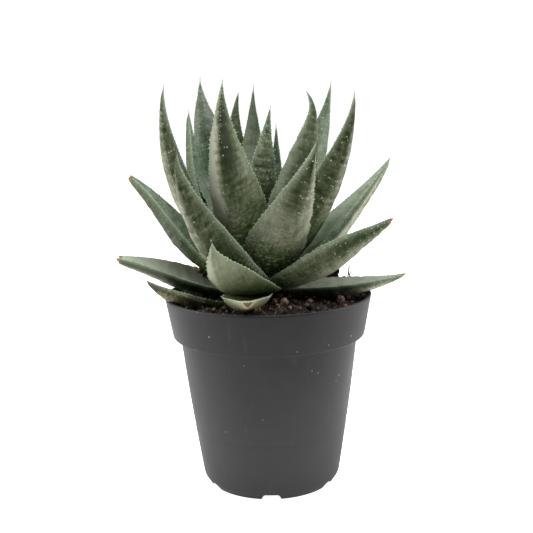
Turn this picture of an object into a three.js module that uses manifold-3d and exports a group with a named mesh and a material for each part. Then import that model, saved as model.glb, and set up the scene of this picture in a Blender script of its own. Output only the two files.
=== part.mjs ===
// Potted haworthia: a rosette of stiff, tapering leaves with pale teeth and tubercles,
// standing in peat in a plain nursery pot.
// Millimetres, +Z up. The origin is the centre of the pot's base, on the surface it stands on.
// -Y is the front and +X the right-hand side seen from the front.

import * as THREE from 'three';
import { mergeVertices } from 'three/addons/utils/BufferGeometryUtils.js';
import Module from 'manifold-3d';

const wasm = await Module();
wasm.setup();

// Fit between neighbouring pieces
const CLEARANCE = 0.3;

// Pot
const POT_HEIGHT = 113;
const RIM_RADIUS = 60.2;
const COLLAR_FOOT_RADIUS = 56.1;
const COLLAR_FOOT_HEIGHT = 88.7;
const BODY_TOP_RADIUS = 51.9;
const BODY_FOOT_RADIUS = 40.5;
const FOOT_HEIGHT = 4.5;
const FOOT_RADIUS = 37.4;
const FOOT_RING_WIDTH = 3;
const BODY_BULGE = 0.55;
const WALL = 1.4;
const CENTRE_PAD_RADIUS = 13;
const POT_SIDES = 42;
const NOTCH_COUNT = 6;
const NOTCH_WIDTH = 9.5;
const FIRST_NOTCH = -91;
const DRAIN_RADIUS = 3.5;
const DRAIN_CIRCLE_RADIUS = 24;
const DRAIN_SIDES = 8;

// Soil
const SOIL_EDGE_DROP = 3.6;
const SOIL_MOUND = 2.6;
const SOIL_ROUGHNESS = 1.1;
const SOIL_RINGS = 8;
const SOIL_SIDES = 30;
const CRUMB_COUNT = 10;
const CRUMB_RADIUS = 1.5;

// Stem
const STEM_X = -2.6;
const STEM_Y = 0;
const STEM_DEPTH = 18;
const STEM_HEIGHT = 23;
const STEM_FOOT_RADIUS = 6.6;
const STEM_TOP_RADIUS = 3.6;
const STEM_SIDES = 20;

// Leaf shape
const SHOULDER = 0.68;
const TAPER = 1.35;
const BASE_NARROWING = 0.42;
const KEEL_SHARE = 0.3;
const CHANNEL_SHARE = 0.12;
const EDGE_HALF_WIDTH = 0.35;
const TIP_DEPTH = 0.55;
const TIP_ROUNDNESS = 1.45;
const BASE_ROUNDNESS = 2.2;
const FLANK_FULLNESS = 0.8;
const HOOK_START = 0.86;
const OUTER_FLANK = 0.65;
const INNER_FLANK = 0.5;
const TOOTH_PITCH = 7;
const TOOTH_HEIGHT = 0.8;
const KEEL_BUMP_PITCH = 8;
const KEEL_BUMP_HEIGHT = 0.5;
const FLANK_STEPS = 8;
const TUBERCLE_RADIUS = 0.85;
const TUBERCLE_HEIGHT = 0.6;
const TUBERCLE_ROOT = 0.9;
const OUTER_TUBERCLES = 7;
const INNER_TUBERCLES = 2;
const ROOM_EDGE = 0.7;

// Leaves, from the outermost to the innermost.
// from: compass angle of the leaf's base round the stem, in degrees from +X towards +Y
// at: height of the base above the pot's soil line
// tip: where the tip is, x, y and height above the rim
// rise and end: climb of the blade in degrees where it leaves the stem and at its tip
// lean: compass angle in which the tip points, and face: compass angle that the keel faces
// wide: greatest width, and deep: keel depth where it isn't the usual share of the width
// roll: turn of the blade about its own length, and blunt: how early the tip broadens
// ridge: where the keel runs across the blade, from -1 to 1, and hook: sideways bend of the tip
// cut: share of the full blade that a dried-off tip has lost
const LEAVES = [
  { name: 'leaf_left_lowest', from: 215, at: -0.3, tip: [-67.8, -24, 13.2], rise: -16, end: 38,
    lean: 214, face: 206, wide: 30, deep: 7.2, roll: 15, blunt: 0.25 },
  { name: 'leaf_front_lowest', from: 241, at: 5, tip: [-10.9, -60.7, 7.6], rise: -5, end: -0.6, lean: 275,
    face: 245, wide: 25.8, deep: 9.3, roll: 3, blunt: 0.18, ridge: -0.04, cut: 0.08 },
  { name: 'leaf_back_lowest', from: 95, at: 3, tip: [1.4, 70, 14], rise: 5, end: 18, face: 95, wide: 30 },
  { name: 'leaf_right_lowest', from: 4, at: 5.3, tip: [79.4, -10, 11.4], rise: 4.6, end: 8.6, lean: 16,
    face: 355.5, wide: 34, deep: 9, roll: -2.7, blunt: 0.08 },
  { name: 'leaf_left_low', from: 176.5, at: 4, tip: [-85.1, -9, 24.3], rise: 8.5, end: 7, lean: 177,
    face: 169, wide: 35, deep: 10.3, roll: 2, blunt: 0.035, ridge: -0.2, cut: 0.14 },
  { name: 'leaf_back_left_low', from: 140, at: 5, tip: [-38.6, 48, 24], rise: 12, end: 30, face: 140,
    wide: 30 },
  { name: 'leaf_back_right_low', from: 45, at: 6, tip: [41.4, 46, 20], rise: 12, end: 30, face: 45,
    wide: 30 },
  { name: 'leaf_front_left_low', from: 260, at: 7, tip: [-29, -48, 37.7], rise: 14, end: 94.5,
    lean: 233, face: 290, wide: 32, deep: 7.5, roll: -19, ridge: -0.33 },
  { name: 'leaf_right_low', from: 315, at: 12, tip: [68.8, -24, 45], rise: 8, end: 26.5, lean: 331.5,
    face: 295, wide: 34, deep: 10, roll: 10, cut: 0.05 },
  { name: 'leaf_left_middle', from: 177, at: 10, tip: [-78.6, 11, 68.7], rise: 18, end: 35, lean: 175,
    face: 171, wide: 35, deep: 13.6, roll: -1, blunt: -0.135, ridge: -0.5, cut: 0.066 },
  { name: 'leaf_right_middle', from: 9.5, at: 11, tip: [72.9, 14, 75.2], rise: 40, end: 48, lean: 13.5,
    face: 9.5, wide: 35.5, deep: 13.8, roll: 3.5, blunt: -0.14, ridge: 0.5 },
  { name: 'leaf_back_left_middle', from: 128, at: 12, tip: [-34.6, 50, 58], rise: 40, end: 72, face: 128,
    wide: 32 },
  { name: 'leaf_back_right_middle', from: 62, at: 13, tip: [26.4, 54, 66], rise: 45, end: 75, face: 62,
    wide: 32 },
  { name: 'leaf_back_middle', from: 92, at: 14, tip: [-6.6, 60, 52], rise: 40, end: 70, face: 92,
    wide: 32 },
  { name: 'leaf_front_left_middle', from: 244, at: 12, tip: [-47.4, -31, 83.7], rise: 13, end: 89.5,
    lean: 219, face: 248, wide: 31.3, deep: 12.8, roll: -12.5, blunt: -0.04, ridge: 0.44 },
  { name: 'leaf_front_right_middle', from: 284.5, at: 11, tip: [26.8, -45, 89.2], rise: 58.5, end: 72,
    lean: 322, face: 282.5, wide: 35.5, deep: 9.4, roll: 3.3, blunt: -0.095, ridge: 0.17 },
  { name: 'leaf_left_tall', from: 199.5, at: 14, tip: [-54.6, -18.5, 118], rise: 30.5, end: 95.5,
    lean: 199, face: 226, wide: 25.4, deep: 7.9, roll: -3.5, blunt: 0.1, ridge: 0.5 },
  { name: 'leaf_right_tall', from: 342, at: 15, tip: [49.7, -15, 113], rise: 56, end: 84.5,
    lean: 345.5, face: 307.5, wide: 30, deep: 8.7, roll: -7, blunt: -0.12, ridge: -0.15 },
  { name: 'leaf_front_tall', from: 235.5, at: 16, tip: [-22.2, -22, 121.8], rise: 66, end: 100,
    lean: 223.5, face: 270, wide: 30, deep: 13.8, roll: 13, blunt: -0.04, ridge: -0.5 },
  { name: 'leaf_left_slim', from: 181, at: 18, tip: [-43.6, 12, 104], rise: 20, end: 82, lean: 164,
    face: 157, wide: 21.2, deep: 8.8, roll: 14, blunt: 0.2 },
  { name: 'leaf_front_right_tall', from: 331, at: 20, tip: [29, -3, 114.8], rise: 65.5, end: 83,
    lean: 349.5, face: 305.5, wide: 28.4, deep: 7.7, roll: -3, hook: -6.5 },
  { name: 'leaf_back_left_tall', from: 145, at: 20, tip: [-37.4, 28, 122.7], rise: 72, end: 92,
    lean: 141, face: 113, wide: 34, deep: 10.6, roll: -4, blunt: 0.035 },
  { name: 'leaf_back_right_tall', from: 24, at: 21, tip: [39.4, 22, 118.5], rise: 59.5, end: 78.5,
    lean: 27, face: 53.5, wide: 26, deep: 7.3, roll: 3, blunt: -0.04 },
  { name: 'leaf_back_slim_left', from: 121, at: 22, tip: [-14.8, 28, 115], rise: 53, end: 116,
    lean: 123.5, face: 114, wide: 20.7, deep: 6.6 },
  { name: 'leaf_back_slim', from: 100, at: 23, tip: [-6.1, 34.5, 117.4], rise: 55.5, end: 102.5,
    lean: 107, face: 97.5, wide: 22.2, deep: 8, roll: 4.5, blunt: -0.08 },
  { name: 'leaf_inner_slim', from: 58.5, at: 24, tip: [6.8, 18, 95.3], rise: 66, end: 91, lean: 63.5,
    face: 74.5, wide: 14, deep: 4.8, roll: -3.5, blunt: -0.14 },
  { name: 'leaf_inner_front', from: 261, at: 24, tip: [3.6, -4, 107], rise: 86, end: 79, lean: 0,
    face: 270, wide: 19.7, deep: 7, blunt: -0.07 },
  { name: 'leaf_inner_small', from: 150, at: 24, tip: [-8.6, 8, 70], rise: 78, end: 92, face: 150,
    wide: 16 },
  { name: 'leaf_inner_bud', from: 20, at: 24, tip: [0.4, 2, 56], rise: 82, end: 94, face: 20, wide: 13 },
];

// Colours and finishes
const GREEN = [0x5d6f52, 0x64765a, 0x566850];
const FINISH = {
  pot: { color: 0x4a4a4c, roughness: 0.62, metalness: 0 },
  soil: { color: 0x2e241d, roughness: 1, metalness: 0 },
  stem: { color: 0x6d6a48, roughness: 0.8, metalness: 0 },
};

// Seeded random numbers from 0 to 1
function randomFrom(seed) {
  let state = seed;
  return () => {
    state = (state + 0x6d2b79f5) | 0;
    let mixed = Math.imul(state ^ (state >>> 15), 1 | state);
    mixed = (mixed + Math.imul(mixed ^ (mixed >>> 7), 61 | mixed)) ^ mixed;
    return ((mixed ^ (mixed >>> 14)) >>> 0) / 4294967296;
  };
}

// Solids

function solidFromTriangles(points, triangles) {
  const sound = triangles.filter(([a, b, c]) => a !== b && b !== c && c !== a);
  return new wasm.Manifold(new wasm.Mesh({
    numProp: 3,
    vertProperties: new Float32Array(points.flatMap((p) => [p.x, p.y, p.z])),
    triVerts: new Uint32Array(sound.flat()),
  }));
}

function solidFromGeometry(geometry) {
  const bare = geometry.clone();
  bare.deleteAttribute('normal');
  bare.deleteAttribute('uv');
  const merged = mergeVertices(bare, 1e-4);
  const position = merged.getAttribute('position');
  const points = [];
  for (let i = 0; i < position.count; i += 1) {
    points.push(new THREE.Vector3().fromBufferAttribute(position, i));
  }
  const triangles = [];
  for (let i = 0; i < merged.index.count; i += 3) {
    triangles.push([merged.index.getX(i), merged.index.getX(i + 1), merged.index.getX(i + 2)]);
  }
  return solidFromTriangles(points, triangles);
}

function largestBody(solid) {
  return solid.decompose().reduce((best, body) => (body.volume() > best.volume() ? body : best));
}

function meshFromSolid(name, solid, material) {
  const data = solid.getMesh();
  const geometry = new THREE.BufferGeometry();
  geometry.setAttribute('position', new THREE.BufferAttribute(new Float32Array(data.vertProperties), 3));
  geometry.setIndex(new THREE.BufferAttribute(new Uint32Array(data.triVerts), 1));
  geometry.computeVertexNormals();
  const mesh = new THREE.Mesh(geometry, material);
  mesh.name = name;
  return mesh;
}

function turned(profile, sides) {
  const outline = profile.map(([radius, height]) => new THREE.Vector2(radius, height));
  return solidFromGeometry(new THREE.LatheGeometry(outline, sides).rotateX(Math.PI / 2));
}

// Pot: collar, tapering body, notched foot ring and a floor with drainage holes

function potSolid() {
  const floorTop = FOOT_HEIGHT + WALL;
  const ringInner = FOOT_RADIUS - FOOT_RING_WIDTH;
  let pot = turned([
    [0, 0],
    [CENTRE_PAD_RADIUS, 0],
    [CENTRE_PAD_RADIUS + 2, FOOT_HEIGHT],
    [ringInner - 0.8, FOOT_HEIGHT],
    [ringInner, 0],
    [FOOT_RADIUS, 0],
    [BODY_FOOT_RADIUS, FOOT_HEIGHT],
    [(BODY_FOOT_RADIUS + BODY_TOP_RADIUS) / 2 + BODY_BULGE, (FOOT_HEIGHT + COLLAR_FOOT_HEIGHT) / 2],
    [BODY_TOP_RADIUS, COLLAR_FOOT_HEIGHT],
    [COLLAR_FOOT_RADIUS, COLLAR_FOOT_HEIGHT],
    [RIM_RADIUS, POT_HEIGHT - 0.7],
    [RIM_RADIUS - 0.5, POT_HEIGHT],
    [RIM_RADIUS - WALL, POT_HEIGHT],
    [COLLAR_FOOT_RADIUS - WALL, COLLAR_FOOT_HEIGHT + WALL],
    [BODY_TOP_RADIUS - WALL, COLLAR_FOOT_HEIGHT + WALL],
    [BODY_FOOT_RADIUS - WALL, floorTop],
    [CENTRE_PAD_RADIUS + 2 - WALL, floorTop],
    [CENTRE_PAD_RADIUS - WALL, WALL],
    [0, WALL],
  ], POT_SIDES);
  for (let i = 0; i < NOTCH_COUNT; i += 1) {
    const angle = THREE.MathUtils.degToRad(FIRST_NOTCH + (i * 360) / NOTCH_COUNT);
    pot = pot.subtract(footNotch(angle));
    pot = pot.subtract(drainHole(angle + Math.PI / NOTCH_COUNT));
  }
  return pot;
}

function footNotch(angle) {
  const reach = BODY_FOOT_RADIUS - FOOT_RADIUS + FOOT_RING_WIDTH + 4;
  const notch = new THREE.BoxGeometry(reach, NOTCH_WIDTH, FOOT_HEIGHT);
  notch.translate(FOOT_RADIUS, 0, FOOT_HEIGHT / 2 - 0.5).rotateZ(angle);
  return solidFromGeometry(notch);
}

function drainHole(angle) {
  const hole = new THREE.CylinderGeometry(DRAIN_RADIUS, DRAIN_RADIUS, 4 * WALL, DRAIN_SIDES);
  hole.rotateX(Math.PI / 2).translate(DRAIN_CIRCLE_RADIUS, 0, FOOT_HEIGHT + WALL / 2).rotateZ(angle);
  return solidFromGeometry(hole);
}

// A band round the pot's rim that the leaves stay clear of
function rimGuard() {
  return turned([
    [COLLAR_FOOT_RADIUS - WALL - 2, COLLAR_FOOT_HEIGHT],
    [COLLAR_FOOT_RADIUS + 1, COLLAR_FOOT_HEIGHT],
    [RIM_RADIUS + CLEARANCE, POT_HEIGHT + CLEARANCE],
    [RIM_RADIUS - WALL - CLEARANCE, POT_HEIGHT + CLEARANCE],
    [COLLAR_FOOT_RADIUS - WALL - 2, COLLAR_FOOT_HEIGHT],
  ], POT_SIDES);
}

// Soil: fills the pot, with a rough mounded top and crumbs

const SOIL_LINE = POT_HEIGHT - 2;

function soilTop(radius, angle) {
  const share = radius / RIM_RADIUS;
  const waves = Math.sin(3 * angle + 1) * Math.cos(radius / 7) + Math.sin(5 * angle + radius / 5);
  return POT_HEIGHT - SOIL_EDGE_DROP + SOIL_MOUND * (1 - share * share) + 0.5 * waves * share;
}

function soilSolid() {
  const random = randomFrom(11);
  const outer = [
    [0, WALL + CLEARANCE],
    [CENTRE_PAD_RADIUS - WALL - 1, WALL + CLEARANCE],
    [CENTRE_PAD_RADIUS + 1 - WALL, FOOT_HEIGHT + WALL + CLEARANCE],
    [BODY_FOOT_RADIUS - WALL - CLEARANCE, FOOT_HEIGHT + WALL + CLEARANCE],
    [BODY_TOP_RADIUS - WALL - CLEARANCE, COLLAR_FOOT_HEIGHT + WALL + CLEARANCE],
    [COLLAR_FOOT_RADIUS - WALL - CLEARANCE, COLLAR_FOOT_HEIGHT + WALL + CLEARANCE],
  ];
  const wallSlope = (RIM_RADIUS - COLLAR_FOOT_RADIUS) / (POT_HEIGHT - COLLAR_FOOT_HEIGHT);
  const topRadius = RIM_RADIUS - WALL - CLEARANCE - 0.1 - wallSlope * SOIL_EDGE_DROP;
  const points = [];
  const rings = [];
  const addRing = (radius, heightAt) => {
    const ring = [];
    for (let i = 0; i < SOIL_SIDES; i += 1) {
      const angle = (i * 2 * Math.PI) / SOIL_SIDES;
      ring.push(points.length);
      points.push(new THREE.Vector3(radius * Math.cos(angle), radius * Math.sin(angle),
        heightAt(angle)));
    }
    rings.push(ring);
  };
  outer.slice(1).forEach(([radius, height]) => addRing(radius, () => height));
  for (let i = SOIL_RINGS; i > 0; i -= 1) {
    const radius = (topRadius * i) / SOIL_RINGS;
    const rough = i === SOIL_RINGS ? 0.2 : SOIL_ROUGHNESS;
    addRing(radius, (angle) => soilTop(radius, angle) + rough * (random() - 0.5));
  }
  const bottom = points.push(new THREE.Vector3(0, 0, outer[0][1])) - 1;
  const top = points.push(new THREE.Vector3(0, 0, soilTop(0, 0))) - 1;
  const triangles = [];
  for (let i = 0; i < SOIL_SIDES; i += 1) {
    const next = (i + 1) % SOIL_SIDES;
    triangles.push([bottom, rings[0][next], rings[0][i]]);
    triangles.push([top, rings[rings.length - 1][i], rings[rings.length - 1][next]]);
    for (let k = 0; k + 1 < rings.length; k += 1) {
      triangles.push([rings[k][i], rings[k][next], rings[k + 1][next]]);
      triangles.push([rings[k][i], rings[k + 1][next], rings[k + 1][i]]);
    }
  }
  let soil = solidFromTriangles(points, triangles);
  for (let i = 0; i < CRUMB_COUNT; i += 1) {
    soil = soil.add(crumb(random, topRadius));
  }
  return soil;
}

function crumb(random, topRadius) {
  const size = CRUMB_RADIUS * (0.7 + 0.8 * random());
  const radius = (topRadius - 2 * size) * Math.sqrt(0.2 + 0.8 * random());
  const angle = 2 * Math.PI * random();
  const lump = new THREE.OctahedronGeometry(size, 0);
  lump.rotateX(Math.PI * random()).rotateZ(Math.PI * random());
  lump.translate(radius * Math.cos(angle), radius * Math.sin(angle), soilTop(radius, angle) + 0.2 * size);
  return solidFromGeometry(lump);
}

// Stem: a short cone that stands in the soil and carries the leaves

function stemSolid(grow) {
  const foot = SOIL_LINE - STEM_DEPTH - grow;
  const top = SOIL_LINE + STEM_HEIGHT + grow;
  return turned([
    [0, foot],
    [STEM_FOOT_RADIUS - 1.5 + grow, foot],
    [STEM_FOOT_RADIUS + grow, foot + 3],
    [STEM_FOOT_RADIUS + grow, SOIL_LINE],
    [STEM_TOP_RADIUS + grow, top - 2],
    [0, top],
  ], STEM_SIDES).translate([STEM_X, STEM_Y, 0]);
}

function stemRadius(height) {
  return THREE.MathUtils.lerp(STEM_FOOT_RADIUS, STEM_TOP_RADIUS,
    THREE.MathUtils.clamp(height / STEM_HEIGHT, 0, 1));
}

// Leaf: a blade along a curve from the stem to the tip, channelled inside and keeled outside

function direction(compass, climb) {
  const around = THREE.MathUtils.degToRad(compass);
  const up = THREE.MathUtils.degToRad(climb);
  return new THREE.Vector3(Math.cos(up) * Math.cos(around), Math.cos(up) * Math.sin(around), Math.sin(up));
}

function leafCurve(leaf) {
  const base = direction(leaf.from, 0).multiplyScalar(stemRadius(leaf.at) - 0.6);
  base.add(new THREE.Vector3(STEM_X, STEM_Y, SOIL_LINE + leaf.at));
  const tip = new THREE.Vector3(leaf.tip[0], leaf.tip[1], POT_HEIGHT + leaf.tip[2]);
  const toTip = THREE.MathUtils.radToDeg(Math.atan2(leaf.tip[1] - STEM_Y, leaf.tip[0] - STEM_X));
  const reach = base.distanceTo(tip);
  const start = direction(leaf.from, leaf.rise).multiplyScalar(reach);
  const end = direction(leaf.lean ?? toTip, leaf.end).multiplyScalar(reach);
  return new THREE.CubicBezierCurve3(
    base,
    base.clone().addScaledVector(start, 1 / 3),
    tip.clone().addScaledVector(end, -1 / 3),
    tip,
  );
}

function leafFrame(leaf, curve, s) {
  const point = curve.getPoint(s);
  const along = curve.getTangent(s);
  const across = direction(leaf.face + 90, 0);
  across.addScaledVector(along, -across.dot(along)).normalize();
  const inward = new THREE.Vector3().crossVectors(along, across);
  const roll = THREE.MathUtils.degToRad(leaf.roll ?? 0);
  return {
    point,
    along,
    across: across.clone().multiplyScalar(Math.cos(roll)).addScaledVector(inward, Math.sin(roll)),
    inward: inward.clone().multiplyScalar(Math.cos(roll)).addScaledVector(across, -Math.sin(roll)),
  };
}

// Distance from the tip that the full blade would have, as a share of its length
function toFullTip(leaf, s) {
  const cut = leaf.cut ?? 0;
  return cut + (1 - cut) * (1 - s);
}

function halfWidth(leaf, s) {
  const toTip = toFullTip(leaf, s);
  const shoulder = SHOULDER - (leaf.blunt ?? 0);
  const swell = Math.sin((Math.PI / 2) * Math.min(1, toTip / shoulder)) ** TAPER;
  const base = Math.max(0, (toTip - 0.7) / 0.3);
  return (leaf.wide / 2) * swell * (1 - BASE_NARROWING * base * base) + EDGE_HALF_WIDTH;
}

function keelDepth(leaf, s) {
  const toTip = toFullTip(leaf, s);
  const depth = leaf.deep ?? KEEL_SHARE * leaf.wide;
  const base = Math.max(0, (toTip - 0.6) / 0.4);
  return depth * Math.min(1, toTip / 0.5) ** 0.8 * (1 - 0.35 * base) + TIP_DEPTH;
}

function channelDepth(leaf, s) {
  return CHANNEL_SHARE * 2 * halfWidth(leaf, s) * Math.min(1, toFullTip(leaf, s) / 0.3);
}

// A point of the blade's skin. share runs from -1 at one margin to 1 at the other, with 0 in the
// middle of the channel or on the keel, and side is 1 inside and -1 outside.
function skinPoint(leaf, curve, s, share, side, proud, edge = 0) {
  const frame = leafFrame(leaf, curve, s);
  const onMargin = Math.abs(share) === 1;
  const middle = side > 0 ? 0 : leaf.ridge ?? 0;
  const u = middle + share * (1 - middle * Math.sign(share));
  const roundness = THREE.MathUtils.lerp(TIP_ROUNDNESS, BASE_ROUNDNESS, Math.max(0, 1 - s / 0.6));
  const depth = side > 0
    ? -channelDepth(leaf, s) * (1 - share * share)
    : -keelDepth(leaf, s) * (1 - Math.abs(share) ** roundness) ** FLANK_FULLNESS;
  const hook = (leaf.hook ?? 0) * Math.max(0, (s - HOOK_START) / (1 - HOOK_START)) ** 2;
  const past = { 0: -edge, 1: edge }[s] ?? 0;
  return frame.point.clone()
    .addScaledVector(frame.along, past)
    .addScaledVector(frame.across, u * (halfWidth(leaf, s) + (onMargin ? proud : 0)) + hook)
    .addScaledVector(frame.inward, depth + side * (onMargin ? edge : proud));
}

// The lengthwise lines of the skin, in order round the section
const SKIN_LINES = [
  { share: 1, side: 1, kind: 'margin' },
  { share: INNER_FLANK, side: 1, kind: 'flank' },
  { share: 0, side: 1, kind: 'flank' },
  { share: -INNER_FLANK, side: 1, kind: 'flank' },
  { share: -1, side: 1, kind: 'margin' },
  { share: -OUTER_FLANK, side: -1, kind: 'flank' },
  { share: 0, side: -1, kind: 'keel' },
  { share: OUTER_FLANK, side: -1, kind: 'flank' },
];

function fadeOut(s) {
  return Math.min(1, (1 - s) / 0.12) * Math.min(1, s / 0.15);
}

// Places along a line with how far each stands proud: teeth on the margins, bumps on the keel
function linePlaces(kind, length) {
  const pitch = { margin: TOOTH_PITCH, keel: KEEL_BUMP_PITCH }[kind];
  const count = pitch ? 2 * Math.round(length / pitch) : FLANK_STEPS;
  const height = { margin: TOOTH_HEIGHT, keel: KEEL_BUMP_HEIGHT, flank: 0 }[kind];
  return Array.from({ length: count + 1 }, (unused, i) => {
    const s = i / count;
    const onUpperBlade = kind === 'margin' || s > 0.4;
    const peak = i % 2 === 1 && onUpperBlade ? height * fadeOut(s) : 0;
    return { s, proud: peak };
  });
}

function bladeSolid(leaf, lines) {
  const curve = leafCurve(leaf);
  const points = [];
  const strings = lines.map(({ share, side, edge, places }) => places.map(({ s, proud }) => {
    points.push(skinPoint(leaf, curve, s, share, side, proud, edge));
    return { s, index: points.length - 1 };
  }));
  const triangles = [];
  strings.forEach((a, k) => stitch(a, strings[(k + 1) % strings.length], triangles));
  const keelLine = lines.findIndex(({ kind }) => kind === 'keel');
  const keel = strings[keelLine];
  for (let k = 1; k < strings.length - 1; k += 1) {
    const here = strings[(keelLine + k) % strings.length];
    const next = strings[(keelLine + k + 1) % strings.length];
    triangles.push([keel[0].index, next[0].index, here[0].index]);
    triangles.push([keel.at(-1).index, here.at(-1).index, next.at(-1).index]);
  }
  return solidFromTriangles(points, triangles);
}

// Triangles between two neighbouring lines that may have different numbers of points
function stitch(a, b, triangles) {
  let i = 0;
  let j = 0;
  while (i < a.length - 1 || j < b.length - 1) {
    const stepA = j === b.length - 1 || (i < a.length - 1 && a[i + 1].s <= b[j + 1].s);
    if (stepA) {
      triangles.push([a[i].index, b[j].index, a[i + 1].index]);
      i += 1;
    } else {
      triangles.push([a[i].index, b[j].index, b[j + 1].index]);
      j += 1;
    }
  }
}

// A tubercle on the flat between the middle line and a flank line, with its root sunk into the blade
function tubercle(leaf, curve, s, side, sign, reach) {
  const frame = leafFrame(leaf, curve, s);
  const flank = sign * (side > 0 ? INNER_FLANK : OUTER_FLANK);
  const foot = skinPoint(leaf, curve, s, 0, side, -TUBERCLE_ROOT);
  foot.lerp(skinPoint(leaf, curve, s, flank, side, -TUBERCLE_ROOT), reach);
  const cone = new THREE.ConeGeometry(TUBERCLE_RADIUS, TUBERCLE_HEIGHT + TUBERCLE_ROOT, 3);
  cone.translate(0, (TUBERCLE_HEIGHT + TUBERCLE_ROOT) / 2, 0);
  const outward = frame.inward.clone().multiplyScalar(side);
  if (side < 0) {
    outward.addScaledVector(frame.across, 0.5 * sign).normalize();
  }
  cone.applyQuaternion(new THREE.Quaternion().setFromUnitVectors(new THREE.Vector3(0, 1, 0), outward));
  cone.translate(foot.x, foot.y, foot.z);
  return solidFromGeometry(cone);
}

function toothedLeaf(leaf, seed) {
  const random = randomFrom(seed);
  const curve = leafCurve(leaf);
  const length = curve.getLength();
  let solid = bladeSolid(leaf, SKIN_LINES.map((line) => (
    { ...line, places: linePlaces(line.kind, length) }
  )));
  const crowd = Math.min(1, leaf.wide / 30);
  for (let i = 0; i < Math.round(crowd * (OUTER_TUBERCLES + INNER_TUBERCLES)); i += 1) {
    const side = i < OUTER_TUBERCLES * crowd ? -1 : 1;
    const s = 0.35 + 0.55 * random();
    const sign = random() < 0.5 ? -1 : 1;
    solid = solid.add(tubercle(leaf, curve, s, side, sign, 0.35 + 0.6 * random()));
  }
  return solid;
}

// The smooth room that a leaf takes up, with its teeth, tubercles and the fit clearance.
// Its margins are blunt: each is two lines, one on either side of the blade's edge.
function leafRoom(leaf) {
  const lower = [{ share: 1, side: -1, kind: 'margin' }];
  const upper = SKIN_LINES.filter(({ side }) => side > 0);
  const outer = SKIN_LINES.filter(({ side }) => side < 0);
  outer.unshift({ share: -1, side: -1, kind: 'margin' });
  return bladeSolid(leaf, [...upper, ...outer, ...lower].map((line) => {
    const steps = line.kind === 'flank' ? FLANK_STEPS : 2 * FLANK_STEPS;
    const proud = line.kind === 'margin' ? TOOTH_HEIGHT + CLEARANCE : TUBERCLE_HEIGHT + 1.5 * CLEARANCE;
    const places = Array.from({ length: steps + 1 }, (unused, i) => ({ s: i / steps, proud }));
    return { ...line, edge: ROOM_EDGE, places };
  }));
}

// Build: each leaf gives way to the older leaves outside it, and the soil gives way to the leaves

function boxesMeet(a, b) {
  const boxA = a.boundingBox();
  const boxB = b.boundingBox();
  return [0, 1, 2].every((k) => boxA.min[k] < boxB.max[k] && boxB.min[k] < boxA.max[k]);
}

function fittedLeaves() {
  const rooms = [];
  const guards = [stemSolid(CLEARANCE), rimGuard()];
  return LEAVES.map((leaf, k) => {
    let solid = toothedLeaf(leaf, 100 + k);
    for (const room of [...guards, ...rooms]) {
      if (boxesMeet(solid, room)) {
        solid = solid.subtract(room);
      }
    }
    rooms.push(leafRoom(leaf));
    return { name: leaf.name, solid: largestBody(solid), room: rooms.at(-1) };
  });
}

function fittedSoil(leaves) {
  let soil = soilSolid().subtract(stemSolid(CLEARANCE));
  for (const { room } of leaves) {
    if (boxesMeet(soil, room)) {
      soil = soil.subtract(room);
    }
  }
  return largestBody(soil);
}

function finish(values) {
  return new THREE.MeshStandardMaterial(values);
}

const leaves = fittedLeaves();
const group = new THREE.Group();
group.name = 'potted_haworthia';
group.add(meshFromSolid('pot', potSolid(), finish(FINISH.pot)));
group.add(meshFromSolid('soil', fittedSoil(leaves), finish(FINISH.soil)));
group.add(meshFromSolid('stem', stemSolid(0), finish(FINISH.stem)));
leaves.forEach(({ name, solid }, k) => {
  const green = finish({ color: GREEN[k % GREEN.length], roughness: 0.55, metalness: 0 });
  group.add(meshFromSolid(name, solid, green));
});

export default group;
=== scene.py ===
# Potted haworthia: the looks of a rosette of stiff, toothed leaves in a plain nursery pot.
# Metres in Blender. Shapes are worked out in millimetres, in the same frame as the CAD model.
import math

import bmesh
import bpy
import numpy as np
from mathutils import Matrix, Vector


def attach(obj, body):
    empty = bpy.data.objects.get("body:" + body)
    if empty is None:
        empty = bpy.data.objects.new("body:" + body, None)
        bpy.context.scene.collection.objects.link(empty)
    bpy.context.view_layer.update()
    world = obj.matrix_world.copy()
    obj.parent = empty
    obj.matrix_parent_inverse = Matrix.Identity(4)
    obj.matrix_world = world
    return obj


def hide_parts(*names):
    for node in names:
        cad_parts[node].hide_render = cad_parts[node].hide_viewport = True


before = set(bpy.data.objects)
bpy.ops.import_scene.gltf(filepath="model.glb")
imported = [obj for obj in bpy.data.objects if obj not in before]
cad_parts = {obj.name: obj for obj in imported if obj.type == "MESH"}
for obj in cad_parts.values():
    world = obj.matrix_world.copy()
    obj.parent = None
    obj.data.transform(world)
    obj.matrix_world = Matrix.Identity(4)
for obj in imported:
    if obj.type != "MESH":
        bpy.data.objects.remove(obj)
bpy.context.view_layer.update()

MM = 0.001
CORNER_STEPS = 5
RIPPLE_WAVES = 7

# Pot, as in the CAD model
POT_HEIGHT = 113
RIM_RADIUS = 60.2
COLLAR_FOOT_RADIUS = 56.1
COLLAR_FOOT_HEIGHT = 88.7
BODY_TOP_RADIUS = 51.9
BODY_FOOT_RADIUS = 40.5
FOOT_HEIGHT = 4.5
FOOT_RADIUS = 37.4
FOOT_RING_WIDTH = 3
BODY_BULGE = 0.55
WALL = 1.4
CENTRE_PAD_RADIUS = 13
NOTCH_COUNT = 6
NOTCH_WIDTH = 9.5
NOTCH_HEIGHT = 3.6
FIRST_NOTCH = -91
DRAIN_RADIUS = 3.5
DRAIN_CIRCLE_RADIUS = 24
POT_SIDES = 192
DRAIN_SIDES = 36
POT_CREASE = 32
FAINT_LINE_HEIGHT = 34

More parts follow.
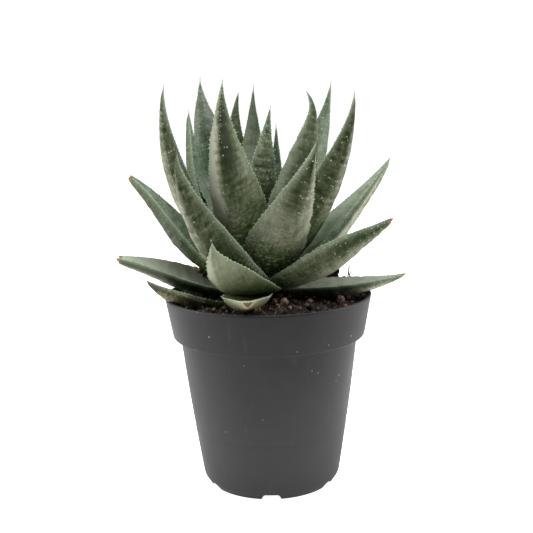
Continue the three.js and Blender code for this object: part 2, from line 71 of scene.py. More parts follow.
# Soil
SOIL_EDGE_DROP = 3.6
SOIL_MOUND = 2.6
SOIL_LINE = POT_HEIGHT - 2
SOIL_FIT = 0.1
SOIL_SIDES = 240
SOIL_RINGS = 84
CLOD_SIZES = (13, 6, 2.6, 1.3)
CLOD_HEIGHTS = (0.7, 0.55, 0.35, 0.2)
LUMP_KINDS = 5
CRUMB_COUNT = 620
CRUMB_REACH = 55.5
FIBRE_COUNT = 110
FIBRE_REACH = 55
FIBRE_LIMIT = 56
FIBRE_STEP = 0.9
FIBRE_SIDES = 6

# Stem
STEM_X = -2.6
STEM_Y = 0
STEM_DEPTH = 18
STEM_HEIGHT = 23
STEM_FOOT_RADIUS = 6.6
STEM_TOP_RADIUS = 3.6
STEM_SIDES = 96
STEM_CREASE = 40
SCAR_PITCH = 2.6
SCAR_DEPTH = 0.16

# Leaf shape, as in the CAD model
SHOULDER = 0.68
TAPER = 1.35
BASE_NARROWING = 0.42
KEEL_SHARE = 0.3
CHANNEL_SHARE = 0.12
EDGE_HALF_WIDTH = 0.35
TIP_DEPTH = 0.55
TIP_ROUNDNESS = 1.45
BASE_ROUNDNESS = 2.2
FLANK_FULLNESS = 0.8
HOOK_START = 0.86
BASE_INSET = 0.6

# Finer leaf detail
LIP = 0.28
WIDTH_WANDER = 0.022
SKIN_RELIEF = 0.13
TOOTH_PITCH = 2.1
TOOTH_HEIGHT = 0.70
TOOTH_LENGTH = 0.55
TOOTH_THICKNESS = 0.38
SPINE_SHARE = 0.035
BRISTLE_RADIUS = 0.26
MARGIN_WIDTH = 0.35
EDGE_GREEN_WIDTH = 2.2
ROW_PITCH = 5.5
TIP_ROW_PITCH = 2.3
BAND_PAST_ROW = 2.0
BAND_WIDTH = 1.3
ROW_GLOW_WIDTH = 0.8
TUBERCLE_GAP = (1.3, 2.1)
TUBERCLE_RADIUS = (0.24, 0.48)
STRAY_RADIUS = (0.16, 0.3)
STUD_PITCH = 2.6
STUD_RADIUS = (0.18, 0.32)
KEEL_DOT_PITCH = 1.9
KEEL_DOT_RADIUS = (0.24, 0.36)
LEAF_STEPS = 150
# Where the lengthwise lines of the outer and inner face run, from the middle towards the margin
OUTER_LINES = [0, 0.03, 0.08, 0.15, 0.24, 0.34, 0.45, 0.56, 0.67, 0.77, 0.85, 0.915, 0.955, 0.982]
INNER_LINES = [0, 0.15, 0.31, 0.47, 0.62, 0.75, 0.85, 0.92, 0.96, 0.985]

# What a leaf's row says of its place and shape, as in the CAD model.
# base: compass angle of its base round the stem, and at: height of the base above the soil line
# tip: x, y and height above the rim, rise and end: climb of the blade at the stem and at the tip
# lean: compass angle in which the tip points, and face: compass angle that the keel faces
# wide: greatest width, and deep: keel depth where it isn't the usual share of the width
# roll: turn of the blade about its own length, and blunt: how early the tip broadens
# ridge: where the keel runs across the blade, from -1 to 1, and hook: sideways bend of the tip
# cut: share of the full blade that a dried-off tip has lost
# What it says of its looks, and what each look is where the row leaves it out.
# tone: tint of the skin, fade: paleness of the outer face at its base and tip, flanks: painted light and
# shade on each flank, paler on a lit side, inside: paleness of the inner face, and even: how far the tones
# spread
# spots and inner_spots: how thickly each face is set with tubercles, rows_from: share of the length
# where their rows begin, keel_dots and studs: how thickly dots follow the keel and the margins
# bands: how dark it is between the rows, and net: marbling near the base
# dry and bristle: length of the dried tip and of the bristle on it, and fork: how far its margins
# stand past the middle there
# zones and stains: patches that are paler or darker, some of them painted light on skin that other leaves
# shade and some painted shade, and tan ones, each with its face, its place and reach along the blade and
# then across it, and its strength
LOOK = dict(roll=0, blunt=0, ridge=0, hook=0, cut=0, tone="green", fade=(0, 0), flanks=(0, 0), inside=0,
            even=1.0, spots=0.4, inner_spots=0.25, rows_from=0.42, keel_dots=0, studs=0.35, bands=0.6,
            net=0.4, dry=1.5, bristle=3.0, fork=0, zones=[], stains=[])


def leaf(name, base, at, tip, rise, end, face, wide, **own):
    """A row of the table: what every leaf needs, then what sets this one apart."""
    return {**LOOK, "name": "leaf_" + name, "base": base, "at": at, "tip": tip, "rise": rise,
            "end": end, "face": face, "wide": wide, **own}


# Leaves, from the outermost to the innermost
LEAVES = [
    leaf("left_lowest", 215, -0.3, (-67.8, -24, 13.2), -16, 38, 206, 30, lean=214, deep=7.2, roll=15,
         blunt=0.25, tone="olive", fade=(-0.8, -0.6), inside=0.2, spots=0.05, bands=0.2, dry=2.5, bristle=0,
         zones=[(-1, 0.5, 0.45, 0.93, 0.08, 1.0), (-1, 0.62, 0.2, 0.2, 0.35, 0.5)],
         stains=[(-1, 0.8, 0.16, 0.1, 0.5, 0.7), (-1, 0.5, 0.2, 0.2, 0.35, 0.35)]),
    leaf("front_lowest", 241, 5, (-10.9, -60.7, 7.6), -5, -0.6, 245, 25.8, lean=275, deep=9.3, roll=3,
         blunt=0.18, ridge=-0.04, cut=0.08, tone="olive", fade=(0.4, 0.75), inside=0.55, even=0.8, spots=0,
         bands=0, dry=1.6,
         stains=[(-1, 0.95, 0.05, 0.1, 0.4, 1.0)]),
    leaf("back_lowest", 95, 3, (1.4, 70, 14), 5, 18, 95, 30, tone="olive", fade=(-0.3, 0), inside=0.2,
         spots=0.3, dry=5, bristle=0),
    # Painted shade: the last zone paints a dark strip on the inner face along its near margin
    leaf("right_lowest", 4, 5.3, (79.4, -10, 11.4), 4.6, 8.6, 355.5, 34, lean=16, deep=9, roll=-2.7,
         blunt=0.08, tone="grey", fade=(-0.5, -0.2), inside=1.0, spots=0.05, bands=0.2, dry=5, bristle=0,
         zones=[(-1, 0.6, 0.5, -0.98, 0.12, -1.2), (-1, 0.65, 0.35, -0.35, 0.3, 0.9),
                (1, 0.5, 0.5, -0.9, 0.3, -0.9)],
         stains=[(1, 0.6, 0.5, 0, 1, 0.15)]),
    # Painted light: inside and the first zone paint the inner face paler, most near the base, where the
    # leaves above shade it
    leaf("left_low", 176.5, 4, (-85.1, -9, 24.3), 8.5, 7, 169, 35, lean=177, deep=10.3, roll=2, blunt=0.035,
         ridge=-0.2, cut=0.14, fade=(-1.2, -0.9), inside=1.1, spots=0.08, bands=0.2, dry=2.5, fork=2.2,
         zones=[(1, 0.3, 0.35, 0.2, 0.8, 0.9), (-1, 0.72, 0.3, 0.2, 0.32, 1.6)],
         stains=[(-1, 0.82, 0.22, 0.15, 0.3, 0.8), (1, 0.7, 0.3, -0.8, 0.3, 0.35)]),
    leaf("back_left_low", 140, 5, (-38.6, 48, 24), 12, 30, 140, 30, fade=(-0.3, 0), bristle=0),
    leaf("back_right_low", 45, 6, (41.4, 46, 20), 12, 30, 45, 30, tone="olive", fade=(-0.3, 0), bristle=0),
    leaf("front_left_low", 260, 7, (-29, -48, 37.7), 14, 94.5, 290, 32, lean=233, deep=7.5, roll=-19,
         ridge=-0.33, fade=(-0.6, 0.6), flanks=(0.3, 0), even=0.5, spots=0, bands=0, net=0.5, bristle=0),
    leaf("right_low", 315, 12, (68.8, -24, 45), 8, 26.5, 295, 34, lean=331.5, deep=10, roll=10, cut=0.05,
         flanks=(0, 0.6), spots=0.7, rows_from=0.4, studs=1.0, bands=0.25, dry=4, fork=0.8,
         zones=[(-1, 0.5, 0.45, -0.98, 0.06, 0.9), (-1, 0.75, 0.3, -0.65, 0.25, -0.8),
                (-1, 0.5, 0.4, -0.1, 0.3, 0.8)]),
    leaf("left_middle", 177, 10, (-78.6, 11, 68.7), 18, 35, 171, 35, lean=175, deep=13.6, roll=-1,
         blunt=-0.135, ridge=-0.5, cut=0.066, fade=(-0.6, -0.45), inside=0.1, spots=0.15, dry=3.5,
         zones=[(-1, 0.5, 0.5, 0.96, 0.08, -0.6), (-1, 0.5, 0.5, -0.15, 0.22, 0.6)]),
    leaf("right_middle", 9.5, 11, (72.9, 14, 75.2), 40, 48, 9.5, 35.5, lean=13.5, deep=13.8, roll=3.5,
         blunt=-0.14, ridge=0.5, fade=(0.5, 0.45), inside=0.5, even=0.7, spots=0.5, rows_from=0.4,
         studs=1.0, bristle=1.2,
         zones=[(-1, 0.6, 0.5, -0.94, 0.1, -2.0), (-1, 0.6, 0.5, -0.68, 0.14, 0.5),
                (1, 0.7, 0.4, 0.8, 0.35, 0.5), (1, 0.25, 0.3, 0, 1, -0.7)]),
    leaf("back_left_middle", 128, 12, (-34.6, 50, 58), 40, 72, 128, 32, tone="olive", fade=(-0.3, 0.1),
         spots=0.6),
    leaf("back_right_middle", 62, 13, (26.4, 54, 66), 45, 75, 62, 32, fade=(-0.3, 0.1), spots=0.6),
    leaf("back_middle", 92, 14, (-6.6, 60, 52), 40, 70, 92, 32, fade=(-0.3, 0.1), spots=0.5),
    leaf("front_left_middle", 244, 12, (-47.4, -31, 83.7), 13, 89.5, 248, 31.3, lean=219, deep=12.8,
         roll=-12.5, blunt=-0.04, ridge=0.44, tone="grey", fade=(-0.8, -0.2), flanks=(0.75, -0.05),
         spots=0.15, rows_from=0.35, studs=0.8, bands=0.8, net=0.7,
         zones=[(-1, 0.5, 0.5, -1.0, 0.35, 0.7)]),
    leaf("front_right_middle", 284.5, 11, (26.8, -45, 89.2), 58.5, 72, 282.5, 35.5, lean=322, deep=9.4,
         roll=3.3, blunt=-0.095, ridge=0.17, tone="grey", fade=(0.1, 0.15), flanks=(0.35, 0.05), even=0.75,
         spots=0.7, rows_from=0.6, studs=1.0, bands=0.5, net=0.9,
         zones=[(-1, 0.68, 0.12, -0.5, 0.35, -0.95), (-1, 0.88, 0.14, -0.15, 0.5, -0.9),
                (-1, 0.6, 0.3, 0.8, 0.25, 0.5)]),
    leaf("left_tall", 199.5, 14, (-54.6, -18.5, 118), 30.5, 95.5, 226, 25.4, lean=199, deep=7.9, roll=-3.5,
         blunt=0.1, ridge=0.5, tone="grey", fade=(0.15, -0.1), flanks=(0.55, 0), spots=0.6, rows_from=0.5,
         keel_dots=0.7),
    leaf("right_tall", 342, 15, (49.7, -15, 113), 56, 84.5, 307.5, 30, lean=345.5, deep=8.7, roll=-7,
         blunt=-0.12, ridge=-0.15, tone="grey", fade=(-0.4, -0.35), flanks=(0.05, 0.6), spots=0.7,
         rows_from=0.45, bands=0.8,
         stains=[(-1, 0.93, 0.05, 0.2, 0.5, 0.6)]),
    # Painted light: the last zone paints the lower left strip paler, where the leaves beside it shade it
    leaf("front_tall", 235.5, 16, (-22.2, -22, 121.8), 66, 100, 270, 30, lean=223.5, deep=13.8, roll=13,
         blunt=-0.04, ridge=-0.5, tone="grey", fade=(-0.3, -0.5), flanks=(1.0, 0.1), spots=0.3,
         rows_from=0.5, keel_dots=1, studs=0.7, net=0.9, bristle=1.0,
         zones=[(-1, 0.6, 0.22, 0.85, 0.22, 0.6), (-1, 0.72, 0.16, 0.25, 0.3, -0.8),
                (-1, 0.6, 0.4, -1.0, 0.4, 1.1), (-1, 0.33, 0.2, -0.9, 0.4, 1.0)]),
    leaf("left_slim", 181, 18, (-43.6, 12, 104), 20, 82, 157, 21.2, lean=164, deep=8.8, roll=14, blunt=0.2,
         tone="blue", fade=(-0.2, -0.1), inside=-0.05, spots=0.7, inner_spots=1),
    leaf("front_right_tall", 331, 20, (29, -3, 114.8), 65.5, 83, 305.5, 28.4, lean=349.5, deep=7.7, roll=-3,
         hook=-6.5, tone="blue", fade=(0.1, -0.05), flanks=(0.1, -0.3), even=0.7, spots=1.0, rows_from=0.45,
         studs=0.5, dry=3, bristle=0,
         zones=[(-1, 0.6, 0.4, -0.95, 0.2, 0.7)],
         stains=[(-1, 0.85, 0.1, 0.6, 0.3, 0.4)]),
    leaf("back_left_tall", 145, 20, (-37.4, 28, 122.7), 72, 92, 113, 34, lean=141, deep=10.6, roll=-4,
         blunt=0.035, tone="grey", fade=(-0.2, -0.1), inside=0.25, even=0.9, spots=0.6, inner_spots=0.5,
         bands=0.9,
         zones=[(1, 0.85, 0.2, 0.8, 0.35, 0.4), (1, 0.8, 0.25, -0.6, 0.5, 0.7),
                (1, 0.58, 0.2, 0, 0.9, -1.2)],
         stains=[(1, 0.9, 0.12, 0.8, 0.35, 0.2)]),
    leaf("back_right_tall", 24, 21, (39.4, 22, 118.5), 59.5, 78.5, 53.5, 26, lean=27, deep=7.3, roll=3,
         blunt=-0.04, fade=(-0.1, 0), inside=0.3, spots=0.6, inner_spots=1.3,
         zones=[(1, 0.93, 0.08, 0, 1, -0.6)]),
    leaf("back_slim_left", 121, 22, (-14.8, 28, 115), 53, 116, 114, 20.7, lean=123.5, deep=6.6,
         tone="olive", fade=(-0.1, 0), inside=-0.15, inner_spots=0.4, dry=3, bristle=0),
    leaf("back_slim", 100, 23, (-6.1, 34.5, 117.4), 55.5, 102.5, 97.5, 22.2, lean=107, deep=8, roll=4.5,
         blunt=-0.08, fade=(-0.1, 0), inside=0.3, even=0.6, spots=0.3, inner_spots=0.15),
    leaf("inner_slim", 58.5, 24, (6.8, 18, 95.3), 66, 91, 74.5, 14, lean=63.5, deep=4.8, roll=-3.5,
         blunt=-0.14, fade=(-0.3, -0.2), inside=-0.3, inner_spots=0.5),
    leaf("inner_front", 261, 24, (3.6, -4, 107), 86, 79, 270, 19.7, lean=0, deep=7, blunt=-0.07,
         tone="blue", fade=(-0.3, 0.05), spots=1.8, rows_from=0.3, bands=0.8, bristle=1.0),
    leaf("inner_small", 150, 24, (-8.6, 8, 70), 78, 92, 150, 16, spots=0.7, inner_spots=0.5),
    leaf("inner_bud", 20, 24, (0.4, 2, 56), 82, 94, 20, 13, spots=0.6, inner_spots=0.4),
]

# Colours, linear. The skins run from the darkest to the palest
TINTS = {
    "green": (0.97, 1.0, 0.96),
    "grey": (1.01, 1.0, 1.06),
    "blue": (0.93, 1.0, 1.02),
    "olive": (1.04, 1.0, 0.80),
}
DEEP_GREEN = (0.86, 1.0, 0.72)
OUTER_SKIN = [(0.016, 0.023, 0.007), (0.042, 0.055, 0.022), (0.098, 0.114, 0.062), (0.200, 0.213, 0.140),
              (0.350, 0.362, 0.268)]
INNER_SKIN = [(0.028, 0.046, 0.024), (0.070, 0.102, 0.062), (0.145, 0.188, 0.130), (0.250, 0.298, 0.222),
              (0.400, 0.445, 0.365)]
EDGE_MINT = (0.180, 0.250, 0.160)
MARGIN_PALE = (0.360, 0.420, 0.310)
TUBERCLE_WHITE = (0.570, 0.650, 0.520)
NET_DARK = (0.020, 0.038, 0.007)
NET_LIGHT = (0.185, 0.250, 0.100)
STAIN_TAN = (0.340, 0.262, 0.180)
STAIN_BROWN = (0.120, 0.072, 0.034)
DRY_BROWN = (0.150, 0.090, 0.050)
DRY_TAN = (0.340, 0.250, 0.155)
POT_DARK = (0.019, 0.019, 0.0205)
POT_GREY = (0.028, 0.028, 0.029)
# Painted light low on the pot, and painted shade on the collar
POT_FLOOR_LIGHT = (0.058, 0.058, 0.060)
COLLAR_SHADE = (0.010, 0.010, 0.011)
SCUFF = (0.090, 0.088, 0.086)
DUST = (0.36, 0.35, 0.33)
PEAT_DARK = (0.0038, 0.0027, 0.0020)
PEAT_BROWN = (0.028, 0.018, 0.0115)
CRUMB_PIT = (0.060, 0.038, 0.024)
CRUMB_PALE = (0.330, 0.260, 0.200)
CRUMB_RED = (0.360, 0.150, 0.090)
BARK_DARK = (0.045, 0.042, 0.020)
BARK_LIGHT = (0.150, 0.140, 0.070)
FLOOR_GREY = (0.93, 0.93, 0.93)
FLOOR_PALE = (0.96, 0.96, 0.96)

# Studio: places in metres, angles in degrees
CAMERA_PLACE = (-0.00058, -0.550, 0.232)
CAMERA_PITCH = 10.7
CAMERA_ROLL = 1.27
FOCAL_PIXELS = 960
PHOTO_PIXELS = 533
SENSOR_WIDTH = 36
FLOOR_REACH = 12
FLOOR_DROP = 0.0002
WORLD_LIGHT = 0.14
WORLD_SEEN = 1.05
SOFTBOX_AIM = (0, 0, 0.13)
# Each softbox: place, width, height, watts and colour
SOFTBOXES = {
    "left_box": ((-0.85, 0.05, 0.45), 0.7, 0.9, 8.8, (1.0, 0.99, 0.97)),
    "right_box": ((0.85, 0.05, 0.45), 0.7, 0.9, 7.9, (1.0, 0.98, 0.96)),
    "top_box": ((0.0, 0.05, 1.1), 0.9, 0.9, 14.0, (1, 1, 1)),
}


# Small tools

def ripple(seed, scale):
    """A smooth seeded function of two coordinates, about -1 to 1, with features of that scale."""
    random = np.random.default_rng(seed)
    turn = random.uniform(0, 2 * np.pi, RIPPLE_WAVES)
    pace = random.uniform(0.6, 1.7, RIPPLE_WAVES) * 2 * np.pi / scale
    phase = random.uniform(0, 2 * np.pi, RIPPLE_WAVES)

    def at(a, b):
        total = 0
        for t, k, p in zip(turn, pace, phase):
            total = total + np.sin(k * (a * np.cos(t) + b * np.sin(t)) + p)
        return total / math.sqrt(RIPPLE_WAVES)

    return at


def smooth(x, low, high):
    """0 at low, 1 at high and smooth between them."""
    t = np.clip((x - low) / (high - low), 0, 1)
    return t * t * (3 - 2 * t)


def unit(v):
    return v / np.linalg.norm(v, axis=-1, keepdims=True)


class Shape:
    """Points in millimetres, faces and three values for each point under each name, for one mesh."""

    def __init__(self, *values):
        self.points = []
        self.faces = []
        self.values = {name: [] for name in values}
        self.count = 0

    def add(self, points, faces, **values):
        points = np.asarray(points, float).reshape(-1, 3)
        self.faces.extend([tuple(int(i) + self.count for i in face) for face in faces])
        self.points.append(points)
        for name, kept in self.values.items():
            value = np.asarray(values[name], float)
            kept.append(np.broadcast_to(value, (len(points), 3)))
        self.count += len(points)

    def mesh(self, name):
        mesh = bpy.data.meshes.new(name)
        mesh.from_pydata((np.concatenate(self.points) * MM).tolist(), [], self.faces)
        return mesh

    def piece(self, name, material, sharp=None):
        """A piece of the object. Where sharp is given, creases of more degrees stay sharp."""
        mesh = self.mesh(name)
        for key, kept in self.values.items():
            attribute = mesh.attributes.new(key, "FLOAT_VECTOR", "POINT")
            attribute.data.foreach_set("vector", np.concatenate(kept).astype(np.float32).ravel())
        mesh.validate()
        mesh.shade_smooth()
        if sharp is not None:
            mesh.set_sharp_from_angle(angle=math.radians(sharp))
        mesh.materials.append(material)
        piece = linked(name, mesh)
        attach(piece, "root")
        return piece


def linked(name, data):
    """A new object in the scene."""
    made = bpy.data.objects.new(name, data)
    bpy.context.scene.collection.objects.link(made)
    return made


def circle(sides):
    return np.arange(sides) * 2 * np.pi / sides


def ring(radius, height, sides):
    turn = circle(sides)
    return np.stack([radius * np.cos(turn), radius * np.sin(turn), np.full(sides, height)], 1)


def grid_faces(rows, columns):
    """Quads of a grid of points, row by row, with its last column joined to the first."""
    i, j = np.meshgrid(np.arange(rows - 1), np.arange(columns), indexing="ij")
    a, b = i * columns + j, i * columns + (j + 1) % columns
    return np.stack([a, b, b + columns, a + columns], -1).reshape(-1, 4).tolist()


def fan(edge, centre, flip=False):
    pairs = zip(edge, np.roll(edge, -1))
    return [(b, a, centre) if flip else (a, b, centre) for a, b in pairs]


def tube_faces(rings, sides):
    """Faces of a closed tube of rings. The middles of its two ends are the points after the rings."""
    count = rings * sides
    start, end = np.arange(sides), np.arange(count - sides, count)
    return grid_faces(rings, sides) + fan(start, count, flip=True) + fan(end, count + 1)


def scattered(template, faces, origins, axes, sizes):
    """Copies of one small shape, each with its origin, three directions in rows, and three sizes."""
    local = template[None] * sizes[:, None]
    points = origins[:, None] + np.einsum("nkj,nji->nki", local, axes)
    shift = np.arange(len(origins)) * len(template)
    return points.reshape(-1, 3), [tuple(i + s for i in face) for s in shift for face in faces]


def dome(sides, rings):
    """A small dome of radius 1 and height 1, with its foot below the surface."""
    points = [ring(radius, height, sides) for radius, height in rings]
    count = len(rings) * sides
    faces = grid_faces(len(rings), sides) + fan(np.arange(count - sides, count), count)
    return np.concatenate([*points, [[0, 0, 1]]]), faces


DOME = dome(7, [(1.0, -0.7), (0.92, 0.25), (0.55, 0.82)])
TOOTH = dome(6, [(1.0, -0.6), (0.62, 0.35)])


# Materials

class Paint:
    """A material under construction: its nodes, and the shader that they lead to."""

    def __init__(self, name, **constants):
        self.material = bpy.data.materials.new(name)
        self.material.use_nodes = True
        self.tree = self.material.node_tree
        self.shader = self.tree.nodes["Principled BSDF"]
        for socket, value in constants.items():
            self.shader.inputs[socket.replace("_", " ")].default_value = value

    def link(self, source, socket):
        if isinstance(source, bpy.types.NodeSocket):
            self.tree.links.new(source, socket)
        elif isinstance(source, tuple) and len(source) == 3 and socket.type == "RGBA":
            socket.default_value = (*source, 1)
        else:
            socket.default_value = source

    def node(self, kind, out=0, inputs=None, **settings):
        made = self.tree.nodes.new("ShaderNode" + kind)
        for name, value in settings.items():
            setattr(made, name, value)
        for key, value in (inputs or {}).items():
            self.link(value, made.inputs[key])
        return made.outputs[out]

    def value(self, name):
        """The three numbers that each point of the mesh keeps under this name."""
        return self.node("Attribute", "Vector", attribute_type="GEOMETRY", attribute_name=name)

    def parts(self, vector):
        made = self.tree.nodes.new("ShaderNodeSeparateXYZ")
        self.link(vector, made.inputs[0])
        return list(made.outputs)

    def position(self):
        return self.node("TexCoord", "Object")

    def stretched(self, vector, x, y, z):
        return self.node("Mapping", inputs={0: vector, "Scale": (x, y, z)})

    def noise(self, vector, scale, detail, rough=0.5):
        inputs = {"Vector": vector, "Scale": scale, "Detail": detail, "Roughness": rough}
        return self.node("TexNoise", "Fac", inputs)

    def cells(self, vector, scale, feature="F1", out="Distance"):
        return self.node("TexVoronoi", out, {"Vector": vector, "Scale": scale}, feature=feature)

    def span(self, value, low, high, start=0.0, stop=1.0):
        """value from low to high, spread smoothly from start to stop."""
        return self.node("MapRange", 0, {0: value, 1: low, 2: high, 3: start, 4: stop},
                         interpolation_type="SMOOTHSTEP")

    def maths(self, operation, a, b):
        return self.node("Math", 0, {0: a, 1: b}, operation=operation)

    def times(self, a, b):
        return self.maths("MULTIPLY", a, b)

    def total(self, start, *parts):
        """start plus each value times its weight."""
        for value, weight in parts:
            start = self.node("Math", 0, {0: value, 1: weight, 2: start}, operation="MULTIPLY_ADD")
        return start

    def ramp(self, value, colours):
        """A line of colours, evenly spaced from 0 to 1."""
        made = self.tree.nodes.new("ShaderNodeValToRGB")
        stops = made.color_ramp.elements
        stops[0].color = (*colours[0], 1)
        stops[-1].color = (*colours[-1], 1)
        for k in range(1, len(colours) - 1):
            stops.new(k / (len(colours) - 1)).color = (*colours[k], 1)
        self.link(value, made.inputs[0])
        return made.outputs[0]

    def mix(self, share, a, b, how="MIX"):
        return self.node("Mix", 2, {0: share, 6: a, 7: b}, data_type="RGBA", blend_type=how)

    def bump(self, height, depth_mm, strength, under=None):
        inputs = {"Height": height, "Distance": depth_mm * MM, "Strength": strength}
        if under is not None:
            inputs["Normal"] = under
        return self.node("Bump", 0, inputs)

    def finish(self, colour, roughness, normal):
        self.link(colour, self.shader.inputs["Base Color"])
        self.link(roughness, self.shader.inputs["Roughness"])
        self.link(normal, self.shader.inputs["Normal"])
        return self.material


def leaf_paint(look):
    """Waxy green skin: streaks, dark bands, marbled base, stains, pale margins and white tubercles, with
    the painted light and shade that the leaf's paleness carries.
    """
    paint = Paint(look["name"] + "_skin", Specular_IOR_Level=0.15)
    blade = paint.value("blade")
    along, rim, inner = paint.parts(paint.value("where"))
    raised, dark, dry = paint.parts(paint.value("marks"))
    pale, glow, stain = paint.parts(paint.value("tones"))
    broad = paint.noise(blade, 0.12, 2)
    streaks = paint.noise(paint.stretched(blade, 1.0, 0.10, 1.0), 1.0, 4, 0.6)
    ripples = paint.noise(paint.stretched(blade, 0.30, 1.0, 1.0), 0.75, 3, 0.6)
    mottle = paint.noise(blade, 0.6, 4, 0.65)
    fine = paint.noise(blade, 2.4, 3, 0.6)

    # Skin: light and dark from the noise, the bands and the leaf's own patches
    even = look["even"]
    # pale carries the leaf's paleness, with the painted light and shade of its flanks and zones
    level = paint.total(0.52 - 1.265 * even, (pale, 0.5), (broad, 0.55 * even), (streaks, 0.60 * even),
                        (ripples, 0.45 * even), (mottle, 0.70 * even), (fine, 0.23 * even))
    band = paint.times(dark, paint.span(fine, 0.25, 0.65, 0.5, 1.0))
    level = paint.total(level, (band, -0.50), (glow, 0.30))
    skins = paint.ramp(level, OUTER_SKIN), paint.ramp(level, INNER_SKIN)
    colour = paint.mix(paint.times(inner, 0.9), *skins)
    greener = paint.total(-0.15, (along, 0.45), (broad, 0.5), (mottle, 0.35), (level, 0.3))
    tint = paint.mix(paint.span(greener, 0.42, 0.66), DEEP_GREEN, TINTS[look["tone"]])
    colour = paint.mix(1.0, colour, tint, "MULTIPLY")

    # Marbling near the base: dark green with small pale flecks
    flecks = paint.total(0.0, (paint.cells(blade, 0.55, "SMOOTH_F1"), 1.0), (fine, 0.35))
    net = paint.mix(paint.span(flecks, 0.34, 0.62), NET_LIGHT, NET_DARK)
    low = paint.span(paint.total(0.0, (along, 1.0), (mottle, 0.3)), 0.62, 0.34)
    low = paint.times(low, paint.total(1.0, (inner, -0.8)))
    colour = paint.mix(paint.times(low, look["net"]), colour, net)

    # Tan and brown stains
    worn = paint.mix(paint.span(mottle, 0.35, 0.6), STAIN_BROWN, STAIN_TAN)
    shown = paint.times(stain, paint.span(paint.noise(blade, 0.3, 4, 0.7), 0.30, 0.60))
    colour = paint.mix(shown, colour, worn)

    # Fresh green edge, pale horny margin, white tubercles and teeth
    colour = paint.mix(paint.span(rim, 0.0, 0.5, 0.0, 0.45), colour, EDGE_MINT)
    horn = paint.times(paint.span(rim, 0.5, 1.0), paint.span(fine, 0.40, 0.60, 0.15, 0.8))
    colour = paint.mix(horn, colour, MARGIN_PALE)
    colour = paint.mix(paint.times(raised, 0.92), colour, TUBERCLE_WHITE)

    # Dried tip
    scorched = paint.mix(paint.span(fine, 0.35, 0.65), DRY_BROWN, DRY_TAN)
    dried = paint.total(0.0, (dry, 1.0), (fine, 0.3))
    colour = paint.mix(paint.span(dried, 0.35, 0.75), colour, scorched)

    rough = paint.span(mottle, 0.3, 0.7, 0.50, 0.68)
    lines = paint.noise(paint.stretched(blade, 1.0, 0.06, 1.0), 1.6, 2)
    normal = paint.bump(lines, 0.06, 0.5)
    normal = paint.bump(paint.total(0.0, (mottle, 0.6), (ripples, 0.6)), 0.25, 0.5, normal)
    normal = paint.bump(fine, 0.05, 0.5, normal)
    return paint.finish(colour, rough, normal)


# Specks of dust and grit that stick to the pot: x, y, z and radius
SPECKS = [
    (-32.4, -48.0, 99.1, 0.55),
    (45.4, -34.6, 94.4, 0.6),
    (38.8, -31.3, 71.0, 0.5),
    (26.4, -43.0, 76.1, 0.35),
    (23.0, -45.1, 77.9, 0.35),
    (-25.3, -38.4, 41.5, 0.35),
    (37.0, -32.9, 68.1, 0.35),
    (14.7, -54.7, 91.6, 0.35),
    (-14.0, -49.3, 82.9, 0.3),
    (-40.4, -39.1, 89.6, 0.35),
    (32.3, -46.7, 92.8, 0.35),
    (-4.4, -47.1, 51.2, 0.3),
]


def pot_paint():
    """Moulded plastic: dark grey with faint brushing round it, scuffs, dust and specks, with painted light
    from the floor towards the bottom and painted shade on the collar.
    """
    paint = Paint("pot_plastic", Specular_IOR_Level=0.22)
    place = paint.position()
    cloud = paint.noise(place, 22, 3, 0.6)
    grain = paint.noise(place, 900, 3, 0.6)
    brushed = paint.noise(paint.stretched(place, 0.05, 0.05, 1.0), 620, 3, 0.6)
    rub = paint.noise(paint.stretched(place, 1.0, 1.0, 0.15), 260, 4, 0.7)
    shade = paint.total(0.0, (cloud, 0.85), (brushed, 0.15))
    colour = paint.mix(paint.span(shade, 0.38, 0.62), POT_DARK, POT_GREY)
    height = paint.parts(place)[2]
    collar_foot = COLLAR_FOOT_HEIGHT * MM
    # Painted light: the pot is painted lighter towards the bottom, where the white floor lights it
    colour = paint.mix(paint.span(height, 0.110, 0.01, 0.0, 0.65), colour, POT_FLOOR_LIGHT)
    # Painted shade: the collar, which faces slightly downwards under the leaves, is painted darker
    collar_shade = paint.span(height, collar_foot - 0.0002, collar_foot + 0.0003, 0.0, 0.3)
    colour = paint.mix(collar_shade, colour, COLLAR_SHADE)
    colour = paint.mix(paint.span(rub, 0.56, 0.78, 0.0, 0.30), colour, SCUFF)
    dust = paint.cells(place, 105)
    pick = paint.cells(place, 105, out="Color")
    chosen = paint.span(paint.node("SeparateColor", 0, {0: pick}), 0.88, 0.92)
    speck = paint.times(paint.span(dust, 0.08, 0.05), chosen)
    for x, y, z, size in SPECKS:
        here = (x * MM, y * MM, z * MM)
        away = paint.node("VectorMath", "Value", {0: place, 1: here}, operation="DISTANCE")
        speck = paint.maths("MAXIMUM", speck, paint.span(away, size * 1.3 * MM, size * 0.7 * MM))
    colour = paint.mix(paint.times(speck, 0.45), colour, DUST)
    rough = paint.span(cloud, 0.3, 0.7, 0.44, 0.54)
    rough = paint.maths("ADD", rough, paint.span(rub, 0.55, 0.8, 0.0, 0.15))
    normal = paint.bump(grain, 0.035, 0.5)
    normal = paint.bump(brushed, 0.01, 0.12, normal)
    normal = paint.bump(paint.noise(paint.stretched(place, 1.0, 1.0, 0.3), 60, 2), 0.12, 0.5, normal)
    return paint.finish(colour, rough, normal)


